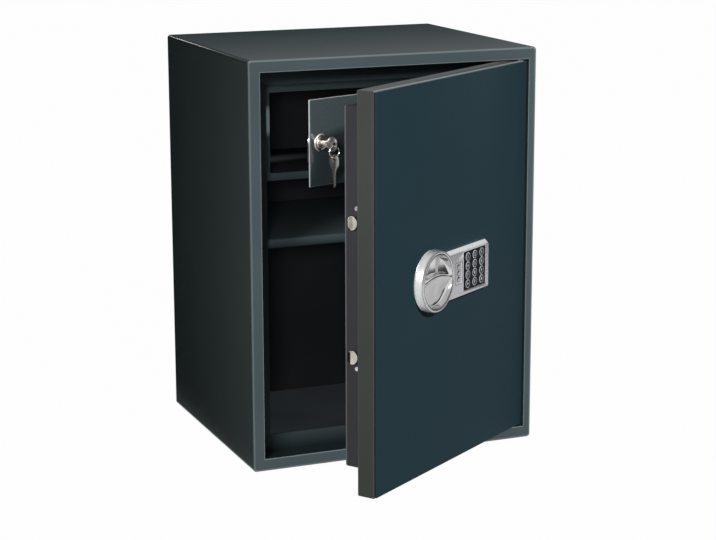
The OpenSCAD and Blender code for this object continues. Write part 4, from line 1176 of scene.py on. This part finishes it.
def reflection_cards():
    """Cards of one grey each that only show in what gloss and metal reflect"""
    for name, corners, grey in (
            ("dark_behind", upright((-1.4, 0.9), (1.5, 0.9), (0.0, 4.5)), 0.02),
            ("strip_behind", upright((-0.4, 0.88), (-0.28, 0.88), (0.82, 0.97)), 4.0),
            ("dark_low", flat((-1.6, -0.24), (-0.19, 0.9), 0.003), 0.02),
            ("grey_right", upright((1.5, -0.75), (1.5, 0.05), (0.0, 1.2)), 0.08),
            ("grey_floor", flat((0.26, 1.5), (-0.5, 0.1), 0.003), 0.7),
            ("dark_right", upright((1.5, -0.75), (0.9, -2.6), (0.0, 1.3)), 0.03),
            ("grey_left", upright((-1.8, -1.1), (-1.8, 0.6), (0.0, 1.0)), 0.5)):
        made = bpy.data.materials.new(name)
        tree, out = bare_tree(made, "ShaderNodeOutputMaterial")
        glow = add(tree, "ShaderNodeEmission", Color=WHITE, Strength=grey)
        tree.links.new(glow.outputs[0], out.inputs["Surface"])
        shown = card(name, corners, made)
        shown.visible_camera = False
        shown.visible_diffuse = False
        shown.visible_shadow = False
        shown.visible_transmission = False


def surroundings():
    """White for the camera and for gloss, a faint cool light for the rest"""
    world = bpy.data.worlds.new("studio")
    bpy.context.scene.world = world
    tree, out = bare_tree(world, "ShaderNodeOutputWorld")
    looked = seen(tree)
    shade = mixed(tree, looked, (0.80, 1.0, 0.93, 1), WHITE)
    sky = add(tree, "ShaderNodeBackground", Color=shade, Strength=ramp(tree, looked, 0, 1, 0.03, 1.0))
    tree.links.new(sky.outputs[0], out.inputs["Surface"])


def lamp(name, place, aim, size, watts, lit, shading=(), colour=(1, 1, 1)):
    """Soft lamp that only lights some pieces, and is shaded by some or by all"""
    data = bpy.data.lights.new(name, "AREA")
    data.shape = "RECTANGLE"
    data.size, data.size_y = size
    data.energy = watts
    data.color = colour
    made = placed(name, data)
    made.location = place
    made.rotation_euler = (Vector(aim) - Vector(place)).to_track_quat("-Z", "Y").to_euler()

    def gathered(label, members):
        group = bpy.data.collections.new(label)
        bpy.context.scene.collection.children.link(group)
        for piece in members:
            group.objects.link(piece)
        return group

    made.light_linking.receiver_collection = gathered(name, lit)
    if shading:
        made.light_linking.blocker_collection = gathered(name + "_shade", shading)


def lamps():
    """Each lamp stands for what one group of surfaces sees of a plain studio"""
    pieces = [o for o in bpy.data.objects if o.type == "MESH"]

    def only(*names):
        return [o for o in pieces if o.name.startswith(names)]

    def all_but(*names):
        return [o for o in pieces if not o.name.startswith(names)]

    shell, jamb = only("cabinet_body"), only("door_jamb")
    beside_left = (-1.1, -1.9, 1.05)
    inner_front = (-0.1, -0.17, 0.50)
    lamp("key", (1.3, -5.55, 3.6), (0.0, -0.2, 0.30), (0.4, 0.4), 312,
         all_but("cabinet_body", "door_jamb", "turning_knob"))
    lamp("shell", (1.3, -5.55, 3.25), (0.0, -0.2, 0.30), (0.4, 0.4), 340, shell, shell)
    lamp("jamb", (-2.3, -2.3, 1.75), (0.0, -0.17, 0.30), (1.6, 0.6), 42, jamb, shell + jamb)
    lamp("front", (-0.6, -0.8, 0.34), (-0.22, -0.1, 0.3), (0.12, 0.5), 1.0, shell, colour=(0.9, 1.0, 0.93))
    lamp("front_right", (0.6, -0.8, 0.3), (0.22, -0.19, 0.3), (0.12, 0.5), 1.8, shell, shell,
         (0.75, 0.88, 1.0))
    lamp("interior", (-1.15, -2.6, 0.95), (0.0, 0.1, 0.35), (0.3, 0.3), 16,
         only("back_sheet", "shelf_sheet", "compartment_"))
    lamp("left", (-1.5, -1.3, 1.2), (-0.1, -0.3, 0.3), (0.5, 0.8), 14,
         all_but("cabinet_body", "door_jamb", "bolt_upper", "bolt_lower"))
    lamp("right", (3.0, 1.6, 0.7), (0.0, -0.3, 0.3), (0.8, 0.6), 45,
         only("door_slab", "bolt_pan", "battery_lid"))
    lamp("behind", (0.0, 2.6, 0.28), (0.0, 0.19, 0.28), (0.3, 0.3), 45, only("cabinet_body", "back_sheet"))
    lamp("inner", beside_left, inner_front, (0.25, 0.25), 14, only("inner_leaf"))
    lamp("inner_keys", beside_left, inner_front, (0.45, 0.45), 50,
         only("lock_cylinder", "lock_plug_turned", "key_in_lock", "key_on_ring", "split_ring"))


def camera():
    """Camera at the photograph's viewing angle"""
    yaw, pitch, roll = math.radians(22.31), math.radians(12.79), math.radians(-0.16)
    forward = Vector((math.sin(yaw) * math.cos(pitch), math.cos(yaw) * math.cos(pitch), -math.sin(pitch)))
    right = Vector((math.cos(yaw), -math.sin(yaw), 0))
    up = right.cross(forward)
    right, up = right * math.cos(roll) + up * math.sin(roll), up * math.cos(roll) - right * math.sin(roll)
    data = bpy.data.cameras.new("camera")
    data.lens = 98.0
    data.sensor_width = 36.0
    made = placed("camera", data)
    turn = Matrix((right, up, -forward)).transposed().to_4x4()
    made.matrix_world = Matrix.Translation((-1.109, -2.746, 0.915)) @ turn
    bpy.context.scene.camera = made


camera()
cabinet_shell()
back_panel()
door_rebate()
compartment()
shelf()
door_slab()
door_pan()
battery_cover()
bolts()
lock_housing()
indicator_window()
knob()
keypad_plate()
keys()
inner_door()
lock_barrel()
lock_plug()
key_blank("key_in_lock", BOW, INTO_LOCK, "inner_lock", "key_inserted")
key_blank("key_on_ring", SPARE_BOW, HANGING, "spare", "spare_key")
key_ring()
all_fasteners()
eased_nodes()
dressed_nodes()
surroundings()
pale_floor()
reflection_cards()
lamps()

bpy.context.scene.view_settings.view_transform = "Standard"
